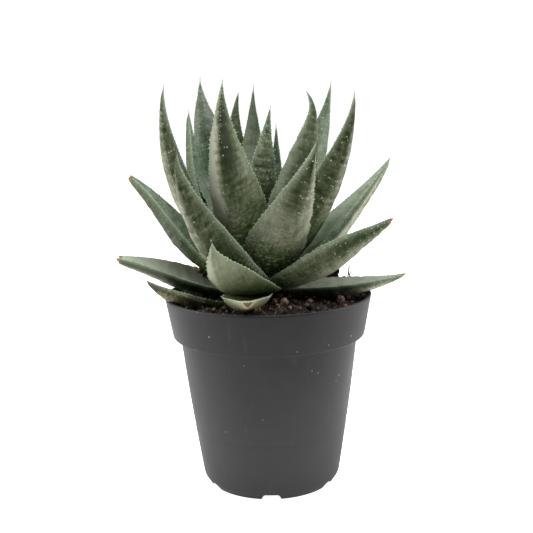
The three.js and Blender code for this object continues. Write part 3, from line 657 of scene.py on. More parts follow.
def soil_paint(name, brown):
    """Damp peat: almost black, with brown fibre and grit. The mesh's tint picks out lighter crumbs."""
    paint = Paint(name, Specular_IOR_Level=0.25)
    place = paint.position()
    tint, red, _ = paint.parts(paint.value("tint"))
    clods = paint.noise(place, 330, 5, 0.65)
    grit = paint.noise(place, 1500, 3, 0.6)
    mixed = paint.maths("ADD", paint.times(clods, 0.6), paint.times(grit, 0.4))
    colour = paint.mix(paint.span(mixed, 0.40, 0.66), PEAT_DARK, PEAT_BROWN)
    light = paint.mix(red, CRUMB_PALE, CRUMB_RED)
    pitted = paint.mix(paint.span(mixed, 0.38, 0.58), CRUMB_PIT, light)
    colour = paint.mix(paint.times(tint, brown), colour, pitted)
    rough = paint.span(mixed, 0.3, 0.7, 0.75, 0.97)
    normal = paint.bump(clods, 0.7, 0.7)
    normal = paint.bump(grit, 0.25, 0.6, normal)
    return paint.finish(colour, rough, normal)


def stem_paint():
    paint = Paint("stem_bark", Specular_IOR_Level=0.3)
    place = paint.position()
    bark = paint.noise(paint.stretched(place, 1, 1, 3), 260, 4, 0.65)
    colour = paint.mix(paint.span(bark, 0.35, 0.65), BARK_DARK, BARK_LIGHT)
    return paint.finish(colour, paint.span(bark, 0.3, 0.7, 0.6, 0.85), paint.bump(bark, 0.4, 0.8))


def floor_paint():
    paint = Paint("floor_board", Specular_IOR_Level=0.2)
    place = paint.position()
    speck = paint.noise(place, 40, 3)
    colour = paint.mix(speck, FLOOR_GREY, FLOOR_PALE)
    paint.link((1.0, 1.0, 1.0), paint.shader.inputs["Emission Color"])
    seen = paint.node("LightPath", "Is Camera Ray")
    paint.link(paint.span(seen, 0, 1, 0.22, 1.0), paint.shader.inputs["Emission Strength"])
    return paint.finish(colour, paint.span(speck, 0.3, 0.7, 0.7, 0.8), paint.bump(speck, 0.01, 0.1))


# Leaves

def direction(compass, climb):
    around, up = math.radians(compass), math.radians(climb)
    return np.array([math.cos(up) * math.cos(around), math.cos(up) * math.sin(around), math.sin(up)])


def stem_radius(height):
    share = min(1, max(0, height / STEM_HEIGHT))
    return STEM_FOOT_RADIUS + (STEM_TOP_RADIUS - STEM_FOOT_RADIUS) * share


class Leaf:
    """A blade along a curve from the stem to the tip, channelled inside and keeled outside."""

    def __init__(self, look, seed):
        self.look = look
        self.seed = seed
        self.random = np.random.default_rng(seed)
        self.wander = ripple(seed + 500, 16)
        self.relief = ripple(seed + 900, 7)
        self.set_curve()
        s = np.linspace(0, 1, 201)
        steps = np.linalg.norm(np.diff(self.frame(s)[0], axis=0), axis=1)
        self.reached = np.concatenate([[0], np.cumsum(steps)])
        self.length = self.reached[-1]

    def set_curve(self):
        look = self.look
        base = direction(look["base"], 0) * (stem_radius(look["at"]) - BASE_INSET)
        base = base + (STEM_X, STEM_Y, SOIL_LINE + look["at"])
        tip = np.array(look["tip"], float) + (0, 0, POT_HEIGHT)
        to_tip = math.degrees(math.atan2(look["tip"][1] - STEM_Y, look["tip"][0] - STEM_X))
        reach = np.linalg.norm(tip - base)
        start = direction(look["base"], look["rise"]) * reach
        end = direction(look.get("lean", to_tip), look["end"]) * reach
        self.curve = (base, base + start / 3, tip - end / 3, tip)

    def frame(self, s):
        """Point, direction along, direction across and direction inward at each s."""
        a, b, c, d = self.curve
        s = np.asarray(s, float)[..., None]
        t = 1 - s
        point = a * t ** 3 + 3 * b * s * t ** 2 + 3 * c * s ** 2 * t + d * s ** 3
        along = unit((b - a) * t ** 2 + 2 * (c - b) * s * t + (d - c) * s ** 2)
        across = np.broadcast_to(direction(self.look["face"] + 90, 0), along.shape)
        across = unit(across - along * (across * along).sum(-1, keepdims=True))
        inward = np.cross(along, across)
        roll = math.radians(self.look["roll"])
        turned = across * math.cos(roll) + inward * math.sin(roll)
        return point, along, turned, inward * math.cos(roll) - across * math.sin(roll)

    def to_full_tip(self, s):
        """Distance from the tip that the full blade would have, as a share of its length."""
        cut = self.look["cut"]
        return cut + (1 - cut) * (1 - s)

    def half_width(self, s, u=0):
        t = self.to_full_tip(s)
        shoulder = SHOULDER - self.look["blunt"]
        swell = np.sin(np.pi / 2 * np.minimum(1, t / shoulder)) ** TAPER
        base = np.maximum(0, (t - 0.7) / 0.3)
        spine = np.clip(t / SPINE_SHARE, 0.25, 1)
        blade = self.look["wide"] / 2 * swell * (1 - BASE_NARROWING * base ** 2)
        uneven = 1 + WIDTH_WANDER * self.wander(s * 110, 40 * np.sign(u)) * np.minimum(1, t / 0.1)
        return (blade + EDGE_HALF_WIDTH * spine) * uneven

    def keel_depth(self, s):
        t = self.to_full_tip(s)
        depth = self.look.get("deep", KEEL_SHARE * self.look["wide"])
        base = np.maximum(0, (t - 0.6) / 0.4)
        spine = np.clip(t / SPINE_SHARE, 0.3, 1)
        return depth * np.minimum(1, t / 0.5) ** 0.8 * (1 - 0.35 * base) + TIP_DEPTH * spine

    def channel_depth(self, s):
        return CHANNEL_SHARE * 2 * self.half_width(s) * np.minimum(1, self.to_full_tip(s) / 0.3)

    def skin(self, s, share, side):
        """Points of the skin. side is 1 inside and -1 outside.

        share runs from -1 at one margin to 1 at the other, with 0 in the channel or on the keel.
        """
        s, share, side = np.broadcast_arrays(np.asarray(s, float), share, side)
        point, along, across, inward = self.frame(s)
        roundness = TIP_ROUNDNESS + (BASE_ROUNDNESS - TIP_ROUNDNESS) * np.maximum(0, 1 - s / 0.6)
        middle = np.where(side > 0, 0, self.look["ridge"])
        inner = -self.channel_depth(s) * (1 - share ** 2)
        outer = -self.keel_depth(s) * np.maximum(0, 1 - np.abs(share) ** roundness) ** FLANK_FULLNESS
        lip = LIP * np.sqrt(np.maximum(0, 1 - share ** 16)) * np.minimum(1, (1 - s) / 0.05 + 0.3)
        hook = self.look["hook"] * np.maximum(0, (s - HOOK_START) / (1 - HOOK_START)) ** 2
        x = (middle + share * (1 - middle * np.sign(share))) * self.half_width(s, share)
        bumps = SKIN_RELIEF * self.relief(x + 60 * side, s * self.length) * (1 - share ** 8)
        height = np.where(side > 0, inner + lip, outer - lip) + side * bumps * smooth(1 - s, 0.02, 0.15)
        past = self.look["fork"] * (np.abs(share) ** 2 - 0.6) * smooth(s, 0.93, 1.0)
        if self.look["cut"]:
            past = past + 0.5 * ripple(self.seed + 77, 1.4)(x, 3.0 * side) * smooth(s, 0.96, 1.0)
        aside, lift, ahead = (length[..., None] for length in (x + hook, height, past))
        return point + across * aside + inward * lift + along * ahead

    def foot(self, s, u, side):
        """Points of the skin with directions along it, across it and out of it."""
        here = self.skin(s, u, side)
        along = unit(self.skin(np.minimum(s + 0.004, 1), u, side)
                     - self.skin(np.maximum(s - 0.004, 0), u, side))
        across = unit(self.skin(s, np.minimum(u + 0.02, 1), side)
                      - self.skin(s, np.maximum(u - 0.02, -1), side))
        out = unit(np.cross(along, across)) * np.sign(side)[..., None]
        return here, np.stack([along, np.cross(out, along), out], -2)

    def places(self, pitch, low, high):
        """Jittered places along the leaf, about one pitch of millimetres apart."""
        steps = np.arange(low * self.length, high * self.length, pitch)
        steps = steps + self.random.uniform(-0.3, 0.3, len(steps)) * pitch
        return np.interp(steps, self.reached, np.linspace(0, 1, len(self.reached)))

    def rows(self):
        """The rows of tubercles: place along the leaf, bow, and strength."""
        found, s = [], self.look["rows_from"]
        while s < 0.97:
            found.append((s, self.random.uniform(-0.02, 0.012), self.random.uniform(0.35, 1)))
            pitch = ROW_PITCH + (TIP_ROW_PITCH - ROW_PITCH) * smooth(s, 0.6, 1.0)
            s += pitch * self.random.uniform(0.7, 1.35) / self.length
        return found

    def patches(self, kind, s, u, side):
        """The leaf's own soft patches of that kind."""
        total = np.zeros(s.shape)
        for face, place, reach, across, spread, strength in self.look[kind]:
            gap = ((s - place) / reach) ** 2 + ((u - across) / spread) ** 2
            total = total + strength * np.exp(-gap) * (side == face)
        return total

    def paleness(self, s, u, side):
        """How pale the skin is: 0 is its usual tone, 1 the palest and -1 the darkest."""
        base, tip = self.look["fade"]
        left, right = self.look["flanks"]
        outer = base + (tip - base) * smooth(s, 0.2, 0.8)
        reach = 1 - 0.6 * smooth(s, 0.65, 0.92)
        # Painted light and shade: each flank is painted paler where a side lamp lights it, and darker where
        # it is shaded
        outer = outer + (left * smooth(-u, -0.15, 0.6) + right * smooth(u, -0.15, 0.6)) * reach
        # Some zones are painted light on skin that other leaves shade, and some are painted shade
        return np.where(side > 0, self.look["inside"], outer) + self.patches("zones", s, u, side)

    def values(self, s, u, side, dark=0.0, glow=0.0):
        """What the paint reads at each point."""
        s, u, side = np.broadcast_arrays(np.asarray(s, float), u, side)
        width = self.half_width(s, u)
        along_mm = np.interp(s, np.linspace(0, 1, len(self.reached)), self.reached)
        blade = np.stack([u * width, along_mm, 37.0 * self.seed + 9.0 * side], -1)
        inset = (1 - np.abs(u)) * width
        rim = np.clip(1.2 - inset / MARGIN_WIDTH, 0, 1) + np.clip(1 - inset / EDGE_GREEN_WIDTH, 0, 1)
        rim = rim * smooth(s, 0.03, 0.15) / 2
        inner = np.where(np.abs(u) > 0.999, 0.5, (side + 1) / 2)
        dry = smooth(along_mm, self.length - self.look["dry"], self.length) * min(1, self.look["dry"] / 3)
        where = np.stack([s, rim, inner], -1)
        marks = np.stack([np.zeros(s.shape), np.broadcast_to(dark, s.shape), dry], -1)
        stains = np.clip(self.patches("stains", s, u, side), 0, 1)
        # The paleness holds the painted light and shade of the flanks and zones
        tones = np.stack([self.paleness(s, u, side), np.broadcast_to(glow, s.shape), stains], -1)
        found = {"blade": blade, "where": where, "marks": marks, "tones": tones}
        return {key: value.reshape(-1, 3) for key, value in found.items()}

    def band(self, s, u, side, rows):
        """How dark the skin is just above each row, and how pale along it."""
        x, y = u * self.half_width(s), s * self.length
        dark = np.zeros(np.broadcast(s, u).shape)
        glow = np.zeros(dark.shape)
        for place, bow, strength in rows:
            gap = (s - place - bow * (1 - u ** 2)) * self.length
            dark = np.maximum(dark, strength * np.exp(-((gap - BAND_PAST_ROW) / BAND_WIDTH) ** 2))
            glow = np.maximum(glow, strength * np.exp(-(gap / ROW_GLOW_WIDTH) ** 2))
        uneven = smooth(ripple(self.seed + 300, 7)(x, y), -0.6, 0.6)
        share = (1 - smooth(np.abs(u), 0.55, 0.98)) * self.look["bands"] * np.where(side > 0, 0.5, 1)
        return dark * uneven * share, glow * smooth(ripple(self.seed + 310, 5)(x, y), -0.7, 0.5) * share

    def build(self):
        shape = Shape("blade", "where", "marks", "tones")
        rows = self.rows()
        outer, inner = np.array(OUTER_LINES), np.array(INNER_LINES)
        u = np.concatenate([[1], inner[::-1], -inner[1:], [-1], -outer[::-1], outer[1:]])
        columns = len(u)
        side = np.where(np.arange(columns) <= 2 * len(inner), 1, -1)
        s = np.linspace(0, 1, LEAF_STEPS + 1)[:, None]
        points = self.skin(s, u[None], side[None])
        dark, glow = self.band(s, u[None], side[None], rows)
        values = self.values(s, u[None], side[None], dark=dark, glow=glow)
        shape.add(points, grid_faces(len(s), columns), **values)
        for end in (0, LEAF_STEPS):
            broken = end and self.look["cut"]
            middle = points[end].mean(0)
            if broken:
                middle = middle - self.frame(1.0)[1] * 0.8
            picked = end * columns + np.arange(columns + 1) % columns
            picked = {key: value[picked] for key, value in values.items()}
            if broken:
                picked["marks"][:, 2] = 1
            edge = np.concatenate([points[end], [middle]])
            shape.add(edge, fan(np.arange(columns), columns, flip=end == 0), **picked)
        self.add_teeth(shape)
        self.add_tubercles(shape, rows)
        if self.look["bristle"] and not self.look["cut"]:
            self.add_bristle(shape)
        return shape

    def add_teeth(self, shape):
        for sign in (-1.0, 1.0):
            s = self.places(TOOTH_PITCH, 0.07, 0.975)
            _, along, across, inward = self.frame(s)
            u = np.full(len(s), sign)
            origin = self.skin(s, u, np.ones(len(s)))
            lift = self.random.uniform(-0.25, 0.35, (len(s), 1))
            out = unit(across * sign + along * 0.35 + inward * lift)
            length = unit(along - out * (along * out).sum(-1, keepdims=True))
            axes = np.stack([length, np.cross(out, length), out], 1)
            fade = np.minimum(1, (1 - s) / 0.12) * np.minimum(1, s / 0.2)
            size = self.random.uniform(0.55, 1.15, len(s)) * (0.35 + 0.65 * fade)
            sizes = np.outer(size, (TOOTH_LENGTH, TOOTH_THICKNESS, TOOTH_HEIGHT))
            self.add_small(shape, TOOTH, origin, axes, sizes, s, u, np.ones(len(s)), 0.95)

    def add_bristle(self, shape):
        """The hair-fine end of a whole tip."""
        tip = np.ones(1)
        _, along, across, inward = self.frame(tip)
        axes = np.stack([across, inward, along], 1)
        size = np.array([[BRISTLE_RADIUS, BRISTLE_RADIUS, self.look["bristle"]]])
        self.add_small(shape, TOOTH, self.skin(tip, 0 * tip, tip), axes, size, tip, 0 * tip, tip, 0.3)

    def add_tubercles(self, shape, rows):
        random, look = self.random, self.look
        spots = []
        for side, share in ((-1, look["spots"]), (1, look["inner_spots"])):
            for place, bow, strength in rows:
                step = random.uniform(*TUBERCLE_GAP) / max(self.half_width(place), 1)
                u = np.arange(-0.9, 0.9, step)
                u = u + random.uniform(-0.35, 0.35, len(u)) * step
                s = place + bow * (1 - u ** 2) + random.normal(0, 0.45, len(u)) / self.length
                odds = share * (0.25 + 0.75 * strength) * (0.35 + 0.65 * smooth(place, 0.4, 0.8))
                size = random.uniform(*TUBERCLE_RADIUS, len(u)) * (0.75 + 0.25 * strength)
                kept = (random.random(len(u)) < odds) & (np.abs(u) < 0.9) & (s < 0.975)
                spots += [(a, b, side, c) for a, b, c in zip(s[kept], u[kept], size[kept])]
            for _ in range(int(share * look["wide"] * 0.5)):
                s = random.uniform(0.25, 0.95)
                spots.append((s, random.uniform(-0.85, 0.85), side, random.uniform(*STRAY_RADIUS)))
        for edge in (-1, 1):
            for s in self.places(STUD_PITCH, 0.2, 0.96):
                if random.random() < look["studs"]:
                    spots.append((s, edge * random.uniform(0.90, 0.97), -1, random.uniform(*STUD_RADIUS)))
        if look["keel_dots"]:
            for s in self.places(KEEL_DOT_PITCH, 0.72, 0.985):
                if random.random() < look["keel_dots"]:
                    spots.append((s, random.normal(0, 0.03), -1, random.uniform(*KEEL_DOT_RADIUS)))
        if not spots:
            return
        s, u, side, size = (np.array(column, float) for column in zip(*spots))
        origin, axes = self.foot(s, u, side)
        stretch = random.uniform(0.9, 1.7, len(s))
        sizes = np.stack([size, size * stretch, size * 0.65], 1)
        self.add_small(shape, DOME, origin, axes, sizes, s, u, side, 0.66)

    def add_small(self, shape, small, origin, axes, sizes, s, u, side, raised):
        template, faces = small
        points, copies = scattered(template, faces, origin, axes, sizes)
        high = np.clip(template[:, 2] * 1.4 + 0.35, 0, 1) * raised
        values = self.values(s, u, side)
        repeated = {key: np.repeat(value, len(template), 0) for key, value in values.items()}
        repeated["marks"][:, 0] = np.tile(high, len(s))
        shape.add(points, copies, **repeated)


def make_leaf(look, seed):
    piece = Leaf(look, seed).build().piece("fine_" + look["name"], leaf_paint(look))
    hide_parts(look["name"])


# Pot

def rounded(corners):
    """A profile with its corners rounded. Each corner is (radius, height, rounding)."""
    line = []
    for k, (r, z, size) in enumerate(corners):
        here = np.array([r, z], float)
        if not size or k in (0, len(corners) - 1):
            line.append(here)
            continue
        before = np.array(corners[k - 1][:2], float) - here
        after = np.array(corners[k + 1][:2], float) - here
        reach = min(size, 0.48 * np.linalg.norm(before), 0.48 * np.linalg.norm(after))
        start, stop = here + unit(before) * reach, here + unit(after) * reach
        for t in np.linspace(0, 1, CORNER_STEPS + 1):
            line.append(start * (1 - t) ** 2 + 2 * here * t * (1 - t) + stop * t ** 2)
    return np.array(line)


def turned(line, sides, x=0, y=0):
    """A closed solid turned round an upright axis. The line starts and ends on the axis."""
    body = [ring(radius, height, sides) for radius, height in line[1:-1]]
    ends = [[0, 0, line[0, 1]], [0, 0, line[-1, 1]]]
    shape = Shape()
    shape.add(np.concatenate([*body, ends]) + (x, y, 0), tube_faces(len(body), sides))
    return shape


def pot_profile():
    floor = FOOT_HEIGHT + WALL
    inner_foot = FOOT_RADIUS - FOOT_RING_WIDTH
    slope = (BODY_TOP_RADIUS - BODY_FOOT_RADIUS) / (COLLAR_FOOT_HEIGHT - FOOT_HEIGHT)
    line_at = FAINT_LINE_HEIGHT

    def body(height):
        share = (height - FOOT_HEIGHT) / (COLLAR_FOOT_HEIGHT - FOOT_HEIGHT)
        return BODY_FOOT_RADIUS + slope * (height - FOOT_HEIGHT) + 4 * BODY_BULGE * share * (1 - share)

    wall = [(body(z), z, 0) for z in np.linspace(40, COLLAR_FOOT_HEIGHT - 6, 9)]
    foot = [(body(z), z, 0) for z in np.linspace(FOOT_HEIGHT + 5, line_at - 4, 5)]

    return rounded([
        (0, 0, 0),
        (CENTRE_PAD_RADIUS, 0, 0.6),
        (CENTRE_PAD_RADIUS + 2, FOOT_HEIGHT, 1.0),
        (inner_foot - 0.8, FOOT_HEIGHT, 0.6),
        (inner_foot, 0, 0.5),
        (FOOT_RADIUS, 0, 0.7),
        (BODY_FOOT_RADIUS, FOOT_HEIGHT, 1.6),
        *foot,
        (body(line_at) + 0.06, line_at, 0.3),
        (body(line_at + 0.5) - 0.05, line_at + 0.5, 0.3),
        *wall,
        (BODY_TOP_RADIUS, COLLAR_FOOT_HEIGHT, 0.5),
        (COLLAR_FOOT_RADIUS, COLLAR_FOOT_HEIGHT, 1.4),
        (RIM_RADIUS, POT_HEIGHT - 1.0, 0.7),
        (RIM_RADIUS - 0.35, POT_HEIGHT, 0.6),
        (RIM_RADIUS - WALL, POT_HEIGHT, 0.5),
        (COLLAR_FOOT_RADIUS - WALL, COLLAR_FOOT_HEIGHT + WALL, 0.8),
        (BODY_TOP_RADIUS - WALL, COLLAR_FOOT_HEIGHT + WALL, 0.8),
        (BODY_FOOT_RADIUS - WALL, floor, 1.0),
        (CENTRE_PAD_RADIUS + 2 - WALL, floor, 0.6),
        (CENTRE_PAD_RADIUS - WALL, WALL, 0.6),
        (0, WALL, 0),
    ])


def cutter(outline, low, high, order, angle):
    """A prism to cut away: an outline from low to high, its axes put in that order and then turned."""
    count = len(outline)
    points = np.concatenate([np.column_stack([outline, np.full(count, z)]) for z in (low, high)])
    c, s = math.cos(angle), math.sin(angle)
    points = points[:, order] @ np.array([[c, s, 0], [-s, c, 0], [0, 0, 1]])
    sides = [(i, (i + 1) % count, count + (i + 1) % count, count + i) for i in range(count)]
    shape = Shape()
    shape.add(points, sides + [tuple(range(count))[::-1], tuple(range(count, 2 * count))])
    mesh = shape.mesh("cutter")
    made = bmesh.new()
    made.from_mesh(mesh)
    bmesh.ops.recalc_face_normals(made, faces=made.faces)
    made.to_mesh(mesh)
    made.free()
    return mesh


def make_pot():
    pot = turned(pot_profile(), POT_SIDES).piece("fine_pot", pot_paint())
    half = NOTCH_WIDTH / 2
    notch = rounded([(-half - 2, -1, 0), (-half - 1.4, -1, 0), (-half + 0.4, NOTCH_HEIGHT, 1.4),
                     (half - 0.4, NOTCH_HEIGHT, 1.4), (half + 1.4, -1, 0), (half + 2, -1, 0)])[1:-1]
    drain = ring(DRAIN_RADIUS, 0, DRAIN_SIDES)[:, :2] + (DRAIN_CIRCLE_RADIUS, 0)
    ring_inside, ring_outside = FOOT_RADIUS - FOOT_RING_WIDTH - 2, BODY_FOOT_RADIUS + 2
    joined = bmesh.new()
    for i in range(NOTCH_COUNT):
        angle = math.radians(FIRST_NOTCH + i * 360 / NOTCH_COUNT)
        joined.from_mesh(cutter(notch, ring_inside, ring_outside, [2, 0, 1], angle))
        angle += math.pi / NOTCH_COUNT
        joined.from_mesh(cutter(drain, FOOT_HEIGHT - 2, FOOT_HEIGHT + WALL + 2, [0, 1, 2], angle))
    mesh = bpy.data.meshes.new("cutters")
    joined.to_mesh(mesh)
    joined.free()
    tool = linked("cutters", mesh)
    cut = pot.modifiers.new("cut", "BOOLEAN")
    cut.operation = "DIFFERENCE"
    cut.solver = "EXACT"
    cut.object = tool
    bpy.context.view_layer.update()
    result = bpy.data.meshes.new_from_object(pot.evaluated_get(bpy.context.evaluated_depsgraph_get()))
    pot.modifiers.clear()
    pot.data = result
    pot.data.shade_smooth()
    pot.data.set_sharp_from_angle(angle=math.radians(POT_CREASE))
    bpy.data.objects.remove(tool)
    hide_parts("pot")


# Soil

CLODS = [ripple(41 + k, size) for k, size in enumerate(CLOD_SIZES)]


def soil_top(radius, angle):
    share = radius / RIM_RADIUS
    waves = np.sin(3 * angle + 1) * np.cos(radius / 7) + np.sin(5 * angle + radius / 5)
    return POT_HEIGHT - SOIL_EDGE_DROP + SOIL_MOUND * (1 - share ** 2) + 0.5 * waves * share


def soil_height(x, y):
    radius, angle = np.hypot(x, y), np.arctan2(y, x)
    rough = sum(height * clod(x, y) for height, clod in zip(CLOD_HEIGHTS, CLODS))
    return soil_top(radius, angle) + rough * (1 - 0.6 * smooth(radius, 50, 57))


def soil_radius(height):
    """Inner radius of the pot there, less the clearance."""
    slope = (RIM_RADIUS - COLLAR_FOOT_RADIUS) / (POT_HEIGHT - COLLAR_FOOT_HEIGHT)
    return COLLAR_FOOT_RADIUS - WALL - SOIL_FIT + slope * (height - COLLAR_FOOT_HEIGHT)


def make_soil():
    inset = WALL + SOIL_FIT
    below = [(CENTRE_PAD_RADIUS - inset, inset),
             (CENTRE_PAD_RADIUS + 2 - WALL, FOOT_HEIGHT + inset),
             (BODY_FOOT_RADIUS - inset, FOOT_HEIGHT + inset),
             (BODY_TOP_RADIUS - inset, COLLAR_FOOT_HEIGHT + inset),
             (COLLAR_FOOT_RADIUS - inset, COLLAR_FOOT_HEIGHT + inset)]
    wall = [ring(radius, height, SOIL_SIDES) for radius, height in below]
    radii = soil_radius(POT_HEIGHT - SOIL_EDGE_DROP) * np.sqrt(np.linspace(1, 0.0004, SOIL_RINGS))
    top = [ring(radius, 0, SOIL_SIDES) for radius in radii]
    for points in top:
        points[:, 2] = soil_height(points[:, 0], points[:, 1])
    ends = [[0, 0, inset], [0, 0, soil_height(0, 0)]]
    points = np.concatenate([*wall, *top, ends])
    patch = smooth(ripple(63, 9)(points[:, 0], points[:, 1]), 0.7, 1.8) * 0.35
    shape = Shape("tint")
    shape.add(points, tube_faces(len(wall) + len(top), SOIL_SIDES), tint=np.outer(patch, (1, 0, 0)))
    piece = shape.piece("fine_soil", soil_paint("peat", 0.8))
    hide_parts("soil")


def lump(seed):
    """A small irregular lump of radius about 1."""
    made = bmesh.new()
    bmesh.ops.create_icosphere(made, subdivisions=2, radius=1)
    points = np.array([v.co for v in made.verts])
    faces = [tuple(v.index for v in f.verts) for f in made.faces]
    made.free()
    rough = ripple(seed, 2.4)(points[:, 0] + 2 * points[:, 2], points[:, 1] - points[:, 2])
    pits = ripple(seed + 9, 0.9)(points[:, 0] - points[:, 2], points[:, 1] + 2 * points[:, 2])
    return points * (1 + 0.22 * rough + 0.12 * pits)[:, None], faces


# Crumbs and flakes that stand out: x, y, height above the soil, size, lightness, redness
CRUMBS = [
    (3.2, -20.6, 1, 2.2, 0.95, 0.25),
    (6.8, -10.7, 1, 1.9, 0.8, 0.3),
    (8.7, -28.6, 0.8, 2, 0.85, 0.2),
    (12.5, -11.3, 1, 1.7, 0.7, 0.4),
    (5.3, -33.1, 0.7, 1.6, 0.9, 0.15),
    (21.8, -9.6, 1.2, 2, 1, 0.05),
    (22.9, -22.5, 0.8, 1.7, 0.8, 0.1),
    (15.6, -21.8, 0.6, 1.4, 0.6, 0.3),
    (41.0, -21.8, 1, 2.2, 0.8, 0.25),
    (45.6, -14.6, 0.8, 1.5, 0.6, 0.3),
    (11.7, -38.5, 0.6, 1.3, 0.9, 0.1),
    (-45.1, -10.7, 0.5, 1, 1, 0.1),
    (-36.6, -26.6, 0.5, 1, 0.9, 0.2),
    (-29.9, -36.9, 0.5, 0.9, 1, 0.1),
    (-53.2, 3.4, 0.5, 1, 0.7, 0.3),
    (-5.8, -39.2, 0.8, 1.5, 0.6, 0.7),
    (23.9, -1.8, 0.6, 1.3, 0.75, 0.1),
    (22.1, -14.8, 0.6, 1.5, 0.8, 0.05),
    (23.8, -27.6, 0.5, 1.2, 0.6, 0.2),
    (40.1, -19.2, 0.8, 1.9, 0.65, 0.3),
    (42.0, -29.4, 0.5, 1.3, 0.45, 0.3),
    (-7.9, -46.0, 0.9, 1.6, 0.55, 0.8),
    (4.4, -18.2, 0.5, 1.6, 0.5, 0.25),
    (7.0, -30.9, 0.4, 1.2, 0.35, 0.5),
    (11.1, 2.3, 0.5, 1.4, 0.55, 0.15),
    (13.5, -33.9, 0.5, 1.4, 0.6, 0.2),
    (54.3, -7.6, 0.9, 1.5, 0.7, 0.1),
    (17.1, -41.4, 0.4, 1, 0.5, 0.4),
    (31.1, -7.9, 0.5, 1.2, 0.35, 0.5),
    (33.8, -35.9, 0.5, 1.1, 0.5, 0.2),
    (0.8, -39.8, 0.5, 1.2, 0.4, 0.6),
    (47.1, -22.4, 0.5, 1.1, 0.5, 0.3),
    (27.0, -40.0, 0.4, 0.9, 0.6, 0.1),
    (-1.3, 0.8, 0.4, 1.2, 0.4, 0.3),
    (-48.0, -2.5, 0.6, 1.4, 0.5, 0.4),
    (-41.2, -16.2, 0.5, 1.1, 0.6, 0.2),
    (-33.4, -34.2, 0.5, 1.2, 0.5, 0.5),
    (-24.2, -42.1, 0.5, 1, 0.7, 0.1),
    (-44.1, 12.4, 16.0, 1.4, 1, 0.3),
    (-42.4, 12.8, 15.8, 2.0, 1, 0.3),
    (-40.5, 12.8, 15.0, 2.4, 1, 0.35),
    (-37.9, 13.6, 13.9, 2.6, 1, 0.3),
    (-36.2, 12, 12.4, 2.3, 1, 0.4),
    (-40.4, 11.1, 13.9, 1.6, 0.95, 0.2),
    (-38.4, 9.8, 12.4, 1.4, 0.7, 0.2),
    (37.5, 38, 3.2, 2.8, 0.05, 0.3),
    (41.5, 38, 4.6, 2.6, 0.04, 0.3),
    (43.5, 37, 7.4, 1.5, 0.05, 0.4),
    (33, 38, 2.4, 2.4, 0.08, 0.3),
    (40, 37, 6.2, 1.6, 0.1, 0.3),
]


def turned_axes(random, count):
    """Random sets of three directions at right angles."""
    first = unit(random.normal(size=(count, 3)))
    second = unit(np.cross(first, random.normal(size=(count, 3))))
    return np.stack([first, second, np.cross(first, second)], 1)


def make_crumbs():
    random = np.random.default_rng(5)
    shape = Shape("tint")
    count = CRUMB_COUNT
    radius = CRUMB_REACH * np.sqrt(random.uniform(0.06, 1, count))
    angle = random.uniform(0, 2 * np.pi, count)
    size = 0.45 + 1.25 * random.random(count) ** 2.2
    light = random.random(count) < 0.22
    tint = np.where(light, random.uniform(0.4, 1.0, count), random.uniform(0, 0.15, count))
    red = np.where(random.random(count) < 0.3, random.uniform(0.2, 0.8, count), 0.0)
    x, y = radius * np.cos(angle), radius * np.sin(angle)
    rows = np.column_stack([x, y, soil_height(x, y) + 0.25 * size, size, tint, red])
    rows = np.vstack([rows, [(x, y, soil_height(x, y) + rise, *look) for x, y, rise, *look in CRUMBS]])
    for k in range(LUMP_KINDS):
        template, faces = lump(200 + k)
        mine = rows[k::LUMP_KINDS]
        sizes = mine[:, 3:4] * random.uniform(0.75, 1.2, (len(mine), 3))
        points, copies = scattered(template, faces, mine[:, :3], turned_axes(random, len(mine)), sizes)
        tints = np.column_stack([mine[:, 4:], 0 * mine[:, 5]])
        shape.add(points, copies, tint=np.repeat(tints, len(template), 0))
    piece = shape.piece("soil_crumbs", soil_paint("peat_crumbs", 1.0))


def thread(shape, path, radius, tint):
    """A thin tapering tube along the points of a path."""
    path = np.asarray(path, float)
    along = unit(np.gradient(path, axis=0))
    across = unit(np.cross(along, (0.3, 0.2, 0.9)))
    other = np.cross(along, across)
    turn = circle(FIBRE_SIDES)[None, :, None]
    width = radius * (1 - 0.7 * np.linspace(0, 1, len(path)) ** 2)
    out = np.cos(turn) * across[:, None] + np.sin(turn) * other[:, None]
    points = (path[:, None] + out * width[:, None, None]).reshape(-1, 3)
    points = np.concatenate([points, [path[0], path[-1]]])
    shape.add(points, tube_faces(len(path), FIBRE_SIDES), tint=tint)


# Fibres and twigs that stand up: foot x, y, top x, y, height above the rim, thickness
TWIGS = [
    (33, 40, 44, 36, 4.5, 0.45),
    (45, 36, 34, 39, 4.6, 0.4),
    (40, 38, 44, 37, 6.2, 0.35),
    (42, 37, 37, 38, 5.4, 0.3),
    (37, 38, 49, 35, 1.8, 0.5),
    (42, 38, 47, 36, 6, 0.28),
    (48, 28, 50.5, 28, 12.4, 0.42),
    (51, 28, 48.5, 28, 10.6, 0.34),
    (49, 28, 51.5, 28, 9.4, 0.4),
    (43, 38, 44.5, 37, 9, 0.4),
    (-46, 37, -36, 38, 5.2, 0.4),
    (-36, 38, -44, 36, 3.4, 0.4),
    (12, -50, 20, -46, -0.8, 0.35),
    (-22, -49, -14, -51, -0.6, 0.3),
    (30, -42, 38, -38, -0.4, 0.35),
]


